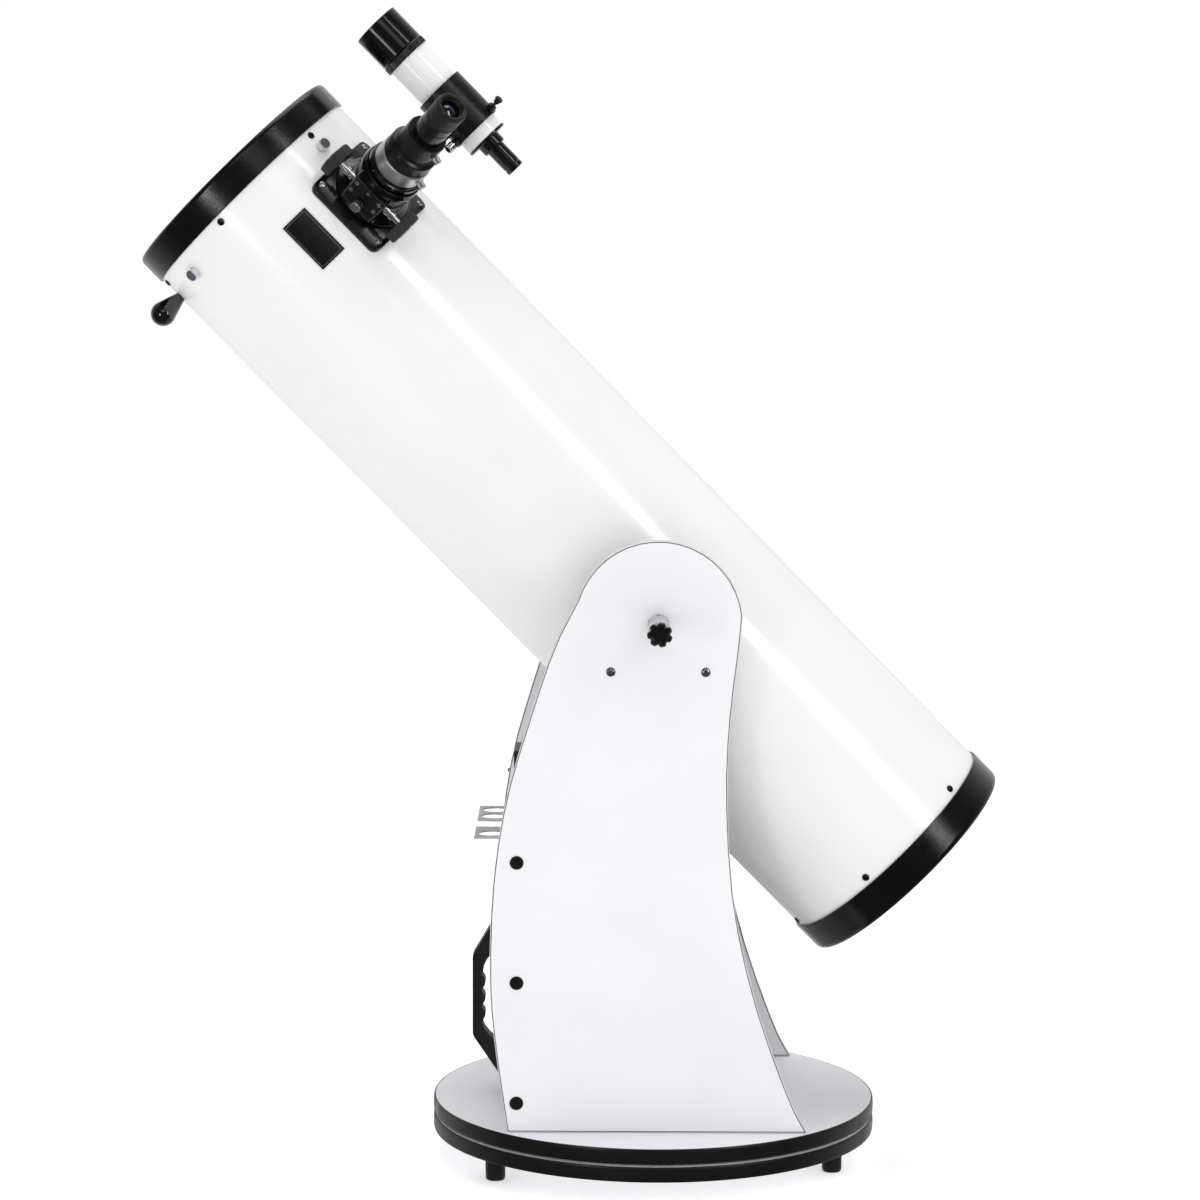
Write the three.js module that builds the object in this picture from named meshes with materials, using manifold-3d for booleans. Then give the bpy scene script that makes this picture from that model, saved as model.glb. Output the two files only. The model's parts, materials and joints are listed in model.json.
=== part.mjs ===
// Solid-tube Dobsonian telescope, in millimetres, +Z up.
//
// The origin is on the ground, midway along the telescope's length with the tube at rest.
// Frames inside the model:
//   - the mount frame has its Z axis on the azimuth axis;
//   - the tube frame is centred on the altitude axis, X along the tube to its open front,
//     Y towards the near side and Z up from the tube's back;
//   - a station is the tube frame turned about X, so that its Z axis points radially outwards
//     at a given angle from the near side.
import * as THREE from 'three';
import { mergeVertices } from 'three/addons/utils/BufferGeometryUtils.js';
import Module from 'manifold-3d';

const wasm = await Module();
wasm.setup();

const GAP = 0.3;
const DEGREE = Math.PI / 180;

// Driving dimensions: mount
const MOUNT_X = 98.6;
const BOARD_RADIUS = 263.2;
const BOARD_THICKNESS = 18;
const GROUND_BOARD_Z = 32;
const BOARD_GAP = 2.8;
const FOOT_RADIUS = 12;
const FOOT_CIRCLE = 229;
const FOOT_TURN = 5.9;
const PANEL_THICKNESS = 16;
const PANEL_OUTER_Y = 191.2;
const PIVOT_Z = 658.1;
const PANEL_TOP_RADIUS = 95.6;
const FRONT_BOARD_X = -168;
const FRONT_BOARD_TOP = 465;
const BOLT_RADIUS = 5;

// Driving dimensions: tube
const ELEVATION = 45.45 * DEGREE;
const TUBE_RADIUS = 144;
const TUBE_WALL = 1.2;
const TUBE_FRONT = 700;
const TUBE_REAR = -401;
const TUBE_SEGMENTS = 48;
const RING_RADIUS = 147;
const HUB_RADIUS = 63;
const HUB_FACE_Y = 172;
const MIRROR_RADIUS = 127;
const FOCAL_LENGTH = 1200;
const SPIDER_S = 651.5;

// Driving dimensions: focuser and finder
const FOCUSER_ANGLE = 47;
const FOCUSER_S = 574;
const DRAWTUBE_RADIUS = 30;
const SHAFT_OFFSET = 34;
const SHAFT_HEIGHT = 176;
const SHAFT_RADIUS = 3.2;
const FINDER_HEIGHT = 240.5;
const FINDER_RADIUS = 25.9;
const BRACKET_REAR = 545.5;
const BRACKET_FRONT = 609.3;
const FINDER_SCREW_S = 551.5;

const BOARD_TOP = GROUND_BOARD_Z + BOARD_THICKNESS + BOARD_GAP + BOARD_THICKNESS;
const PANEL_INNER_Y = PANEL_OUTER_Y - PANEL_THICKNESS;
const TUBE_CLEAR_RADIUS = TUBE_RADIUS + GAP;

const finish = (color, roughness, metalness = 0) =>
  new THREE.MeshStandardMaterial({ color, roughness, metalness });
const FINISH = {
  melamine: finish(0xeeeef0, 0.45),
  tubePaint: finish(0xf5f5f2, 0.2),
  blackPaint: finish(0x1b1b1c, 0.4, 0.2),
  blackPlastic: finish(0x151515, 0.5),
  blackMetal: finish(0x1c1c1e, 0.35, 0.6),
  rubber: finish(0x1a1a1a, 0.9),
  chrome: finish(0xd8d8da, 0.12, 1),
  aluminium: finish(0xb9bbbd, 0.35, 1),
  steel: finish(0x9a9c9e, 0.4, 1),
  greyPaint: finish(0x8a8c88, 0.5, 0.2),
  ptfe: finish(0xf2f2ee, 0.6),
  mirror: finish(0xe4e8ea, 0.03, 1),
  label: finish(0x111111, 0.3),
};

// ---------- shape helpers ----------

/** Solid of revolution about Y from [radius, height] points, counter-clockwise. */
function turned(profile, segments = 16) {
  const points = profile.map(([radius, height]) => new THREE.Vector2(radius, height));
  return new THREE.LatheGeometry(points, segments);
}

/** Ring of revolution about Y: a closed profile. */
const turnedRing = (profile, segments = 16) => turned([...profile, profile[0]], segments);

/** Plain tube of revolution about Y. */
function pipe(inner, outer, from, to, segments = 16) {
  return turnedRing([[inner, from], [outer, from], [outer, to], [inner, to]], segments);
}

/** Solid cylinder about Y. */
const rod = (radius, from, to, segments = 16) =>
  turned([[0, from], [radius, from], [radius, to], [0, to]], segments);

/** Turns a Y-axis solid onto the X axis. */
const alongX = (geometry) => geometry.rotateZ(-Math.PI / 2);

/** Turns a Y-axis solid onto the Z axis. */
const alongZ = (geometry) => geometry.rotateX(Math.PI / 2);

/** Box from two opposite corners. */
function block([x0, y0, z0], [x1, y1, z1]) {
  const geometry = new THREE.BoxGeometry(x1 - x0, y1 - y0, z1 - z0);
  return geometry.translate((x0 + x1) / 2, (y0 + y1) / 2, (z0 + z1) / 2);
}

const plate = (shape, thickness, curveSegments = 4) =>
  new THREE.ExtrudeGeometry(shape, { depth: thickness, bevelEnabled: false, curveSegments });

/** Extrusion along Y of a shape drawn in the XZ plane, from y to y + thickness. */
function uprightPlate(shape, y, thickness) {
  return plate(shape, thickness).rotateX(Math.PI / 2).translate(0, y + thickness, 0);
}

/** Extrusion along X of a shape drawn in the YZ plane. */
function crossPlate(shape, x, thickness, curveSegments) {
  const turn = new THREE.Matrix4().makeBasis(
    new THREE.Vector3(0, 1, 0), new THREE.Vector3(0, 0, 1), new THREE.Vector3(1, 0, 0));
  return plate(shape, thickness, curveSegments).applyMatrix4(turn).translate(x, 0, 0);
}

const polygon = (points) => new THREE.Shape(points.map(([x, y]) => new THREE.Vector2(x, y)));

function circlePath(x, y, radius) {
  const path = new THREE.Path();
  path.absarc(x, y, radius, 0, 2 * Math.PI, true);
  return path;
}

/** Rectangle with rounded corners, centred. */
function roundedRectangle(width, height, radius) {
  const shape = new THREE.Shape();
  const x = width / 2 - radius;
  const y = height / 2 - radius;
  shape.absarc(x, y, radius, 0, Math.PI / 2);
  shape.absarc(-x, y, radius, Math.PI / 2, Math.PI);
  shape.absarc(-x, -y, radius, Math.PI, 1.5 * Math.PI);
  shape.absarc(x, -y, radius, 1.5 * Math.PI, 2 * Math.PI);
  return shape;
}

/** Manifold solid of a closed geometry. */
function solid(geometry) {
  const bare = geometry.clone();
  bare.deleteAttribute('normal');
  bare.deleteAttribute('uv');
  const merged = mergeVertices(bare, 1e-4);
  const index = merged.index.array;
  const corners = [];
  for (let i = 0; i < index.length; i += 3) {
    const [a, b, c] = index.slice(i, i + 3);
    if (a !== b && b !== c && c !== a) corners.push(a, b, c);
  }
  return new wasm.Manifold(new wasm.Mesh({
    numProp: 3,
    vertProperties: new Float32Array(merged.attributes.position.array),
    triVerts: new Uint32Array(corners),
  }));
}

/** Geometry of a manifold solid. */
function geometryOf(body) {
  const mesh = body.getMesh();
  const geometry = new THREE.BufferGeometry();
  geometry.setAttribute('position', new THREE.BufferAttribute(mesh.vertProperties, 3));
  geometry.setIndex(new THREE.BufferAttribute(mesh.triVerts, 1));
  geometry.computeVertexNormals();
  return geometry;
}

/** The first geometry with others joined on, then others cut away. */
function shaped(base, { joined = [], cut = [], kept = [] }) {
  let body = solid(base);
  for (const geometry of joined) body = body.add(solid(geometry));
  for (const geometry of kept) body = body.intersect(solid(geometry));
  for (const geometry of cut) body = body.subtract(solid(geometry));
  return geometryOf(body);
}

// ---------- groups and frames ----------

const telescope = new THREE.Group();
const mount = new THREE.Group();
mount.position.x = MOUNT_X;
telescope.add(mount);

const tube = new THREE.Group();
tube.position.z = PIVOT_Z;
tube.rotation.set(0, ELEVATION, Math.PI);
mount.add(tube);

/** A group in the tube frame whose Z axis points outwards at an angle from the near side. */
function station(angle, s = 0) {
  const group = new THREE.Group();
  group.position.x = s;
  group.rotation.x = (angle - 90) * DEGREE;
  tube.add(group);
  return group;
}

function addPiece(parent, name, geometry, material) {
  const mesh = new THREE.Mesh(geometry, material);
  mesh.name = name;
  parent.add(mesh);
  return mesh;
}

/** The tube's outside, as a tool that fits pieces to its curve, in the tube frame. */
const tubeTool = (radius, from, to) => alongX(rod(radius, from, to, TUBE_SEGMENTS));

// ---------- ground board, feet and azimuth bearing ----------

function addGroundBase() {
  const bore = BOLT_RADIUS + 1.3;
  const groundTop = GROUND_BOARD_Z + BOARD_THICKNESS;
  const board = pipe(bore, BOARD_RADIUS, GROUND_BOARD_Z, groundTop, TUBE_SEGMENTS);
  addPiece(mount, 'ground_board', alongZ(board), FINISH.melamine);

  const footProfile = [
    [0, 0], [FOOT_RADIUS - 1.5, 0], [FOOT_RADIUS, 1.5],
    [FOOT_RADIUS, GROUND_BOARD_Z - GAP], [0, GROUND_BOARD_Z - GAP],
  ];
  ['foot_front', 'foot_rear', 'foot_far'].forEach((name, i) => {
    const angle = (-150 + 120 * i + FOOT_TURN) * DEGREE;
    const foot = addPiece(mount, name, alongZ(turned(footProfile)), FINISH.rubber);
    foot.position.set(FOOT_CIRCLE * Math.cos(angle), FOOT_CIRCLE * Math.sin(angle), 0);
  });

  const bearing = pipe(180, 215, groundTop + GAP, groundTop + BOARD_GAP - GAP, 32);
  addPiece(mount, 'azimuth_bearing', alongZ(bearing), FINISH.ptfe);

  const headHeight = 7;
  const boltTop = BOARD_TOP + 16;
  const head = rod(10, GROUND_BOARD_Z - GAP - headHeight, GROUND_BOARD_Z - GAP, 6);
  const shank = rod(BOLT_RADIUS, GROUND_BOARD_Z - headHeight, boltTop);
  const bolt = shaped(head, { joined: [shank] });
  addPiece(mount, 'azimuth_bolt', alongZ(bolt), FINISH.steel);

  const nut = pipe(BOLT_RADIUS + GAP, 10, BOARD_TOP + GAP, BOARD_TOP + 10, 6);
  const washer = pipe(BOLT_RADIUS + GAP, 15, BOARD_TOP + GAP, BOARD_TOP + 2.3);
  const fixing = shaped(nut, { joined: [washer], cut: [rod(BOLT_RADIUS + GAP, BOARD_TOP, boltTop)] });
  addPiece(mount, 'azimuth_lock_nut', alongZ(fixing), FINISH.steel);
}

// ---------- rocker box ----------

/** Side panel outline in the XZ plane, with the altitude axis at X = 0. */
function panelShape() {
  const foot = BOARD_TOP + GAP;
  const leftAngle = 163.5 * DEGREE;
  const rightAngle = 6.6 * DEGREE;
  const onTop = (angle) => new THREE.Vector2(
    PANEL_TOP_RADIUS * Math.cos(angle), PIVOT_Z + PANEL_TOP_RADIUS * Math.sin(angle));
  const left = new THREE.SplineCurve([
    onTop(leftAngle), new THREE.Vector2(-119.3, 629), new THREE.Vector2(-149.5, 538),
    new THREE.Vector2(-173.8, 451), new THREE.Vector2(-187.6, 354), new THREE.Vector2(-190.6, 245),
    new THREE.Vector2(-184.2, 168), new THREE.Vector2(-170.3, foot),
  ]);
  const right = new THREE.SplineCurve([
    new THREE.Vector2(173.9, foot), new THREE.Vector2(152.8, 112), new THREE.Vector2(114.2, 221),
    new THREE.Vector2(88.3, 337), new THREE.Vector2(79.5, 458), new THREE.Vector2(82.4, 550),
    new THREE.Vector2(91.2, 628), onTop(rightAngle),
  ]);
  const top = new THREE.EllipseCurve(
    0, PIVOT_Z, PANEL_TOP_RADIUS, PANEL_TOP_RADIUS, rightAngle, leftAngle);
  const outline = [
    ...left.getPoints(18), ...right.getPoints(18), ...top.getPoints(18).slice(1, -1),
  ];
  const shape = new THREE.Shape(outline);
  shape.holes.push(circlePath(0, PIVOT_Z, BOLT_RADIUS + 1.5));
  return shape;
}

function handleShape() {
  const root = FRONT_BOARD_X - GAP;
  const grip = -216.5;
  const inner = -203.8;
  const shape = new THREE.Shape();
  shape.moveTo(root, 82);
  shape.lineTo(root, 128);
  shape.quadraticCurveTo(-190, 131, inner + 2, 149);
  const valleys = 4;
  const pitch = 19.5;
  for (let i = 0; i < valleys; i += 1) {
    const z = 155 + pitch * i;
    shape.quadraticCurveTo(inner - 1.2, z, inner - 0.3, z + pitch / 4);
    if (i < valleys - 1) shape.quadraticCurveTo(inner + 6, z + pitch * 0.62, inner - 0.3, z + pitch);
  }
  shape.quadraticCurveTo(inner + 1, 236, -186, 246);
  shape.lineTo(root, 252);
  shape.lineTo(root, 306);
  shape.lineTo(root - 8, 306);
  shape.lineTo(grip + 1.5, 241);
  shape.quadraticCurveTo(grip, 238, grip, 235);
  shape.lineTo(grip, 146);
  shape.quadraticCurveTo(grip, 142, grip + 2, 138.5);
  shape.lineTo(root - 8, 82);
  return shape;
}

/** Eyepiece shelf seen from above: three round holes and an open notch. */
function rackShape() {
  const back = FRONT_BOARD_X - GAP;
  const front = -211.5;
  const notch = -178;
  const shape = polygon([
    [back, -108], [back, 106], [front, 106], [front, 7],
    [notch, 7], [notch, -36], [front, -36], [front, -108],
  ]);
  for (const y of [80, 37, -78]) shape.holes.push(circlePath(-191, y, 16.4));
  return shape;
}

function addRocker() {
  const bore = BOLT_RADIUS + 1.3;
  const board = pipe(bore, BOARD_RADIUS, BOARD_TOP - BOARD_THICKNESS, BOARD_TOP, TUBE_SEGMENTS);
  addPiece(mount, 'azimuth_board', alongZ(board), FINISH.melamine);

  const shape = panelShape();
  const near = uprightPlate(shape, -PANEL_OUTER_Y, PANEL_THICKNESS);
  const far = uprightPlate(shape, PANEL_INNER_Y, PANEL_THICKNESS);
  addPiece(mount, 'side_panel_near', near, FINISH.melamine);
  addPiece(mount, 'side_panel_far', far, FINISH.melamine);

  const frontY = PANEL_INNER_Y - GAP;
  const frontBoard = block(
    [FRONT_BOARD_X, -frontY, BOARD_TOP + GAP], [FRONT_BOARD_X + 16, frontY, FRONT_BOARD_TOP]);
  addPiece(mount, 'front_board', frontBoard, FINISH.melamine);

  const bumper = block(
    [FRONT_BOARD_X + 1, -36, FRONT_BOARD_TOP + GAP], [FRONT_BOARD_X + 15, 36, FRONT_BOARD_TOP + 24]);
  addPiece(mount, 'tube_bumper', bumper, FINISH.rubber);

  const handleWidth = 28;
  const handle = uprightPlate(handleShape(), -handleWidth / 2, handleWidth);
  addPiece(mount, 'carry_handle', handle, FINISH.blackPlastic);

  const shelfZ = 397;
  const sheet = 2;
  const shelf = plate(rackShape(), sheet, 8).translate(0, 0, shelfZ);
  const flange = block([FRONT_BOARD_X - GAP - sheet, -108, shelfZ - 22],
    [FRONT_BOARD_X - GAP, 106, shelfZ + sheet]);
  addPiece(mount, 'eyepiece_rack', shaped(shelf, { joined: [flange] }), FINISH.greyPaint);
}

/** Two short rollers on each side panel carry the tube's altitude hubs. */
function addAltitudePads() {
  const radius = 12.5;
  const reach = HUB_RADIUS + GAP + radius;
  const spread = 45.2 * DEGREE;
  for (const [side, sign] of [['near', -1], ['far', 1]]) {
    for (const [end, turn] of [['front', -1], ['rear', 1]]) {
      const geometry = rod(radius, 150, PANEL_INNER_Y - GAP);
      if (sign < 0) geometry.rotateX(Math.PI);
      const pad = addPiece(mount, `altitude_pad_${side}_${end}`, geometry, FINISH.ptfe);
      pad.position.set(turn * reach * Math.sin(spread), 0, PIVOT_Z - reach * Math.cos(spread));
    }
  }
}

// ---------- tube assembly ----------

function addMainTube() {
  const inner = TUBE_RADIUS - TUBE_WALL;
  const wall = alongX(pipe(inner, TUBE_RADIUS, TUBE_REAR, TUBE_FRONT, TUBE_SEGMENTS));
  const port = alongZ(rod(DRAWTUBE_RADIUS + 2, 100, 170, 32))
    .rotateX((FOCUSER_ANGLE - 90) * DEGREE).translate(FOCUSER_S, 0, 0);
  addPiece(tube, 'main_tube', shaped(wall, { cut: [port] }), FINISH.tubePaint);

  const frontRing = turnedRing([
    [TUBE_CLEAR_RADIUS, 676.4], [RING_RADIUS, 676.4], [RING_RADIUS, 706.5], [142.6, 710.9],
    [133, 710.9], [133, TUBE_FRONT + GAP], [TUBE_CLEAR_RADIUS, TUBE_FRONT + GAP],
  ], TUBE_SEGMENTS);
  addPiece(tube, 'front_ring', alongX(frontRing), FINISH.blackPaint);

  const rearRing = turnedRing([
    [128, -429.8], [141.5, -429.8], [RING_RADIUS, -424.3], [RING_RADIUS, -390.5],
    [TUBE_CLEAR_RADIUS, -390.5], [TUBE_CLEAR_RADIUS, TUBE_REAR - GAP], [128, TUBE_REAR - GAP],
  ], TUBE_SEGMENTS);
  addPiece(tube, 'rear_ring', alongX(rearRing), FINISH.blackPaint);
}

/** Three-armed plate: an outer rim, a hub and three spokes. */
function spokedShape(rimRadius, rimWidth, hubRadius, spokeAngle) {
  const shape = new THREE.Shape();
  shape.absarc(0, 0, rimRadius, 0, 2 * Math.PI);
  for (let i = 0; i < 3; i += 1) {
    const from = (120 * i + spokeAngle) * DEGREE;
    const to = (120 * (i + 1) - spokeAngle) * DEGREE;
    const window = new THREE.Path();
    window.absarc(0, 0, rimRadius - rimWidth, from, to);
    window.absarc(0, 0, hubRadius, to, from, true);
    shape.holes.push(window);
  }
  return shape;
}

const COLLIMATION_CIRCLE = 92;
const CELL_REAR = -400;
const FRAME_REAR = -417;

function addPrimary() {
  const mirrorRear = -392;
  const mirrorEdge = -358;
  const rings = 3;
  const profile = [[0, mirrorRear], [MIRROR_RADIUS, mirrorRear]];
  for (let i = rings; i >= 0; i -= 1) {
    const radius = (MIRROR_RADIUS * i) / rings;
    const depth = (MIRROR_RADIUS ** 2 - radius ** 2) / (4 * FOCAL_LENGTH);
    profile.push([radius, mirrorEdge - depth]);
  }
  addPiece(tube, 'primary_mirror', alongX(turned(profile, 36)), FINISH.mirror);

  const cellShape = spokedShape(126, 24, 40, 14);
  const cell = crossPlate(cellShape, CELL_REAR, mirrorRear - GAP - CELL_REAR, 7);
  addPiece(tube, 'mirror_cell', cell, FINISH.blackPaint);

  const frameShape = spokedShape(128 - GAP, 12, 34, 12);
  for (let i = 0; i < 3; i += 1) {
    const angle = 120 * i * DEGREE;
    frameShape.holes.push(circlePath(
      COLLIMATION_CIRCLE * Math.cos(angle), COLLIMATION_CIRCLE * Math.sin(angle), 3.6));
  }
  addPiece(tube, 'cell_frame', crossPlate(frameShape, FRAME_REAR, 6, 7), FINISH.blackPaint);

  const knobProfile = [
    [0, -428], [8, -428], [9, -427], [9, FRAME_REAR - GAP], [3, FRAME_REAR - GAP], [3, CELL_REAR - GAP], [0, CELL_REAR - GAP],
  ];
  for (let i = 0; i < 3; i += 1) {
    const angle = 120 * i * DEGREE;
    const knob = addPiece(
      tube, `collimation_knob_${i + 1}`, alongX(turned(knobProfile, 12)), FINISH.chrome);
    knob.position.set(
      0, COLLIMATION_CIRCLE * Math.cos(angle), COLLIMATION_CIRCLE * Math.sin(angle));
  }
}

function addSecondary() {
  const hub = alongX(rod(17, SPIDER_S - 15.5, SPIDER_S + 15.5));
  const vanes = [45, 135, 225, 315].map((angle) => block(
    [SPIDER_S - 12.5, -0.7, 14], [SPIDER_S + 12.5, 0.7, TUBE_RADIUS - TUBE_WALL - 0.6],
  ).rotateX(angle * DEGREE));
  addPiece(tube, 'spider', shaped(hub, { joined: vanes }), FINISH.blackPaint);

  const thickness = 9;
  const facing = station(FOCUSER_ANGLE, FOCUSER_S);
  const slab = (from, to) => block([-120, -120, from], [120, 120, to]).rotateY(-Math.PI / 4);
  const glass = shaped(alongX(rod(29, -60, 60, 28)), { kept: [slab(-thickness, 0)] });
  addPiece(facing, 'secondary_mirror', glass, FINISH.mirror);
  const holderTop = SPIDER_S - 15.5 - GAP - FOCUSER_S;
  const holder = shaped(alongX(rod(27, -60, holderTop, 24)), {
    kept: [slab(-150, -thickness - GAP)],
  });
  addPiece(facing, 'secondary_holder', holder, FINISH.blackPlastic);
}

/** Altitude hub: a shallow cup fitted to the tube, with a threaded boss for the tension knob. */
function addHubs() {
  for (const [side, sign] of [['near', 1], ['far', -1]]) {
    const cup = rod(HUB_RADIUS, 110, HUB_FACE_Y, 32);
    const inside = pipe(13, HUB_RADIUS - 7, 100, HUB_FACE_Y - 8, 24);
    const thread = rod(BOLT_RADIUS + GAP, 155, HUB_FACE_Y + 5, 12);
    const hub = shaped(cup, {
      cut: [inside, tubeTool(TUBE_CLEAR_RADIUS, -100, 100), thread],
    });
    if (sign < 0) hub.rotateX(Math.PI);
    addPiece(tube, `altitude_hub_${side}`, hub, FINISH.blackPlastic);
  }
}

/** Tension knobs: a bolt through the panel into the hub, a sleeve round it and a lobed knob. */
function addTensionKnobs() {
  const sleeveStart = PANEL_OUTER_Y + GAP;
  const sleeveEnd = sleeveStart + 76;
  const lobes = 7;
  const outline = [];
  for (let i = 0; i < lobes * 4; i += 1) {
    const angle = (2 * Math.PI * i) / (lobes * 4);
    const radius = 13 + 1.4 * Math.cos(lobes * angle);
    outline.push([radius * Math.cos(angle), radius * Math.sin(angle)]);
  }
  for (const [side, turn] of [['near', 0], ['far', Math.PI]]) {
    const sleeve = pipe(BOLT_RADIUS + GAP, 12.5, sleeveStart, sleeveEnd);
    const grip = plate(polygon(outline), 13).rotateX(-Math.PI / 2);
    const knob = shaped(grip.translate(0, sleeveEnd + GAP, 0), {
      joined: [rod(BOLT_RADIUS, 157, sleeveEnd + 4)],
    });
    addPiece(tube, `tension_sleeve_${side}`, sleeve.rotateX(turn), FINISH.aluminium);
    addPiece(tube, `tension_knob_${side}`, knob.rotateX(turn), FINISH.blackPlastic);
  }
}

function addTrim() {
  const ballHeight = 173;
  const ballRadius = 14.5;
  const profile = [[0, TUBE_CLEAR_RADIUS], [7, TUBE_CLEAR_RADIUS], [7, 147], [4.6, 152]];
  const steps = 7;
  for (let i = 0; i <= steps; i += 1) {
    const angle = (-70 + (160 * i) / steps) * DEGREE;
    const radius = i === steps ? 0 : ballRadius * Math.cos(angle);
    profile.push([radius, ballHeight + ballRadius * Math.sin(angle)]);
  }
  const knob = alongZ(turned(profile, 14));
  addPiece(station(-77, 647.5), 'pointing_knob', knob, FINISH.blackPlastic);

  const from = 3 * DEGREE;
  const to = 16.6 * DEGREE;
  const strip = new THREE.Shape();
  strip.absarc(0, 0, TUBE_RADIUS + 1.5, from, to);
  strip.absarc(0, 0, TUBE_CLEAR_RADIUS, to, from, true);
  addPiece(tube, 'label_plate', crossPlate(strip, 550, 64.5, 6), FINISH.label);
}

// ---------- focuser ----------

function addFocuser() {
  const focuser = station(FOCUSER_ANGLE, FOCUSER_S);
  const fit = (radius) => alongX(rod(radius, -120, 120, TUBE_SEGMENTS))
    .rotateX((90 - FOCUSER_ANGLE) * DEGREE);
  const footprint = plate(roundedRectangle(105, 112, 9), 60, 3).translate(0, 0, 100);
  const base = shaped(footprint, { kept: [fit(TUBE_RADIUS + 5.5)] });
  const skirt = alongZ(turned([
    [0, 130], [47, 130], [47, 147], [38, 158], [34.5, 166], [34.5, 184],
    [37, 186], [37, 190], [35.5, 196], [0, 196],
  ], 28));
  const pressureBlock = block([-24, 22, 152], [24, 45, 190]);
  const body = shaped(base, {
    joined: [skirt, pressureBlock],
    cut: [
      fit(TUBE_CLEAR_RADIUS),
      alongZ(rod(DRAWTUBE_RADIUS + GAP, 90, 210, 28)),
      alongX(rod(SHAFT_RADIUS + 0.4, -60, 60, 12)).translate(0, SHAFT_OFFSET, SHAFT_HEIGHT),
      rod(2.9, 36, 50, 12).translate(0, 0, SHAFT_HEIGHT - 11),
    ],
  });
  addPiece(focuser, 'focuser_body', body, FINISH.blackMetal);

  const lockScrew = turned([
    [0, 38], [2.5, 38], [2.5, 46.5], [6.5, 46.5], [6.5, 56], [5.5, 57], [0, 57],
  ], 16);
  const screw = addPiece(focuser, 'focus_lock_screw', lockScrew, FINISH.aluminium);
  screw.position.z = SHAFT_HEIGHT - 11;

  const shaft = turned([
    [0, -58], [SHAFT_RADIUS, -58], [SHAFT_RADIUS, -38], [5.2, -38], [5.2, -25.5],
    [SHAFT_RADIUS, -25.5], [SHAFT_RADIUS, 25.5], [5.2, 25.5], [5.2, 38],
    [SHAFT_RADIUS, 38], [SHAFT_RADIUS, 58], [0, 58],
  ], 12);
  const knob = [
    [0, 58.3], [SHAFT_RADIUS + GAP, 58.3], [SHAFT_RADIUS + GAP, 46.3], [20.5, 46.3],
    [20.5, 59], [19.5, 60], [0, 60],
  ];
  const parts = [
    ['focus_shaft', alongX(shaft), FINISH.chrome],
    ['focus_knob_front', alongX(turned(knob, 20)), FINISH.blackMetal],
    ['focus_knob_rear', alongX(turned(knob, 20)).rotateY(Math.PI), FINISH.blackMetal],
  ];
  for (const [name, geometry, material] of parts) {
    addPiece(focuser, name, geometry, material).position.set(0, SHAFT_OFFSET, SHAFT_HEIGHT);
  }
  addDrawtube(focuser);
}

/** Drawtube stack: everything that the focuser racks in and out. */
function addDrawtube(focuser) {
  const bore = 25.8;
  const clampBase = 208;
  const clampTop = 227;
  const drawtube = turnedRing([
    [bore, 112], [DRAWTUBE_RADIUS, 112], [DRAWTUBE_RADIUS, 199], [34, 199],
    [34, 205], [32, clampBase - GAP], [bore, clampBase - GAP],
  ], 28);
  addPiece(focuser, 'drawtube', alongZ(drawtube), FINISH.blackMetal);

  const clampScrewZ = 219;
  const clampTurn = 164;
  const across = (radius, from, to, z, turn) => alongX(rod(radius, from, to, 12))
    .rotateZ(turn * DEGREE).translate(0, 0, z);
  const clamp = shaped(alongZ(pipe(bore, 31, clampBase, clampTop, 28)), {
    cut: [across(2.4, 20, 40, clampScrewZ, clampTurn)],
  });
  addPiece(focuser, 'eyepiece_clamp', clamp, FINISH.aluminium);

  const adapterScrewZ = 262;
  const eyepieceBore = 16;
  const adapterTop = 274;
  const adapterBody = alongZ(turnedRing([
    [eyepieceBore, 206], [25.4, 206], [25.4, clampTop + GAP], [29.5, clampTop + GAP],
    [29.5, 244], [24.3, 246], [24.3, adapterTop], [eyepieceBore, adapterTop],
  ], 24));
  const adapter = shaped(adapterBody, {
    cut: [across(2.4, 10, 40, adapterScrewZ, clampTurn)],
  });
  addPiece(focuser, 'eyepiece_adapter', adapter, FINISH.blackMetal);

  const setScrew = (reach, head) => alongX(turned([
    [0, reach], [2, reach], [2, head], [4.6, head], [4.6, head + 8], [0, head + 8],
  ], 10)).rotateZ(clampTurn * DEGREE);
  addPiece(focuser, 'clamp_screw', setScrew(25.7, 32), FINISH.chrome)
    .position.z = clampScrewZ;
  addPiece(focuser, 'adapter_screw', setScrew(16.3, 25.3), FINISH.chrome)
    .position.z = adapterScrewZ;

  const eyepiece = turned([
    [0, 240], [15.7, 240], [15.7, adapterTop + GAP], [18.2, adapterTop + GAP],
    [18.8, 331], [13.5, 331], [11.5, 327.5], [0, 327.5],
  ], 24);
  addPiece(focuser, 'eyepiece', alongZ(eyepiece), FINISH.rubber);
}

// ---------- finder ----------

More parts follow.
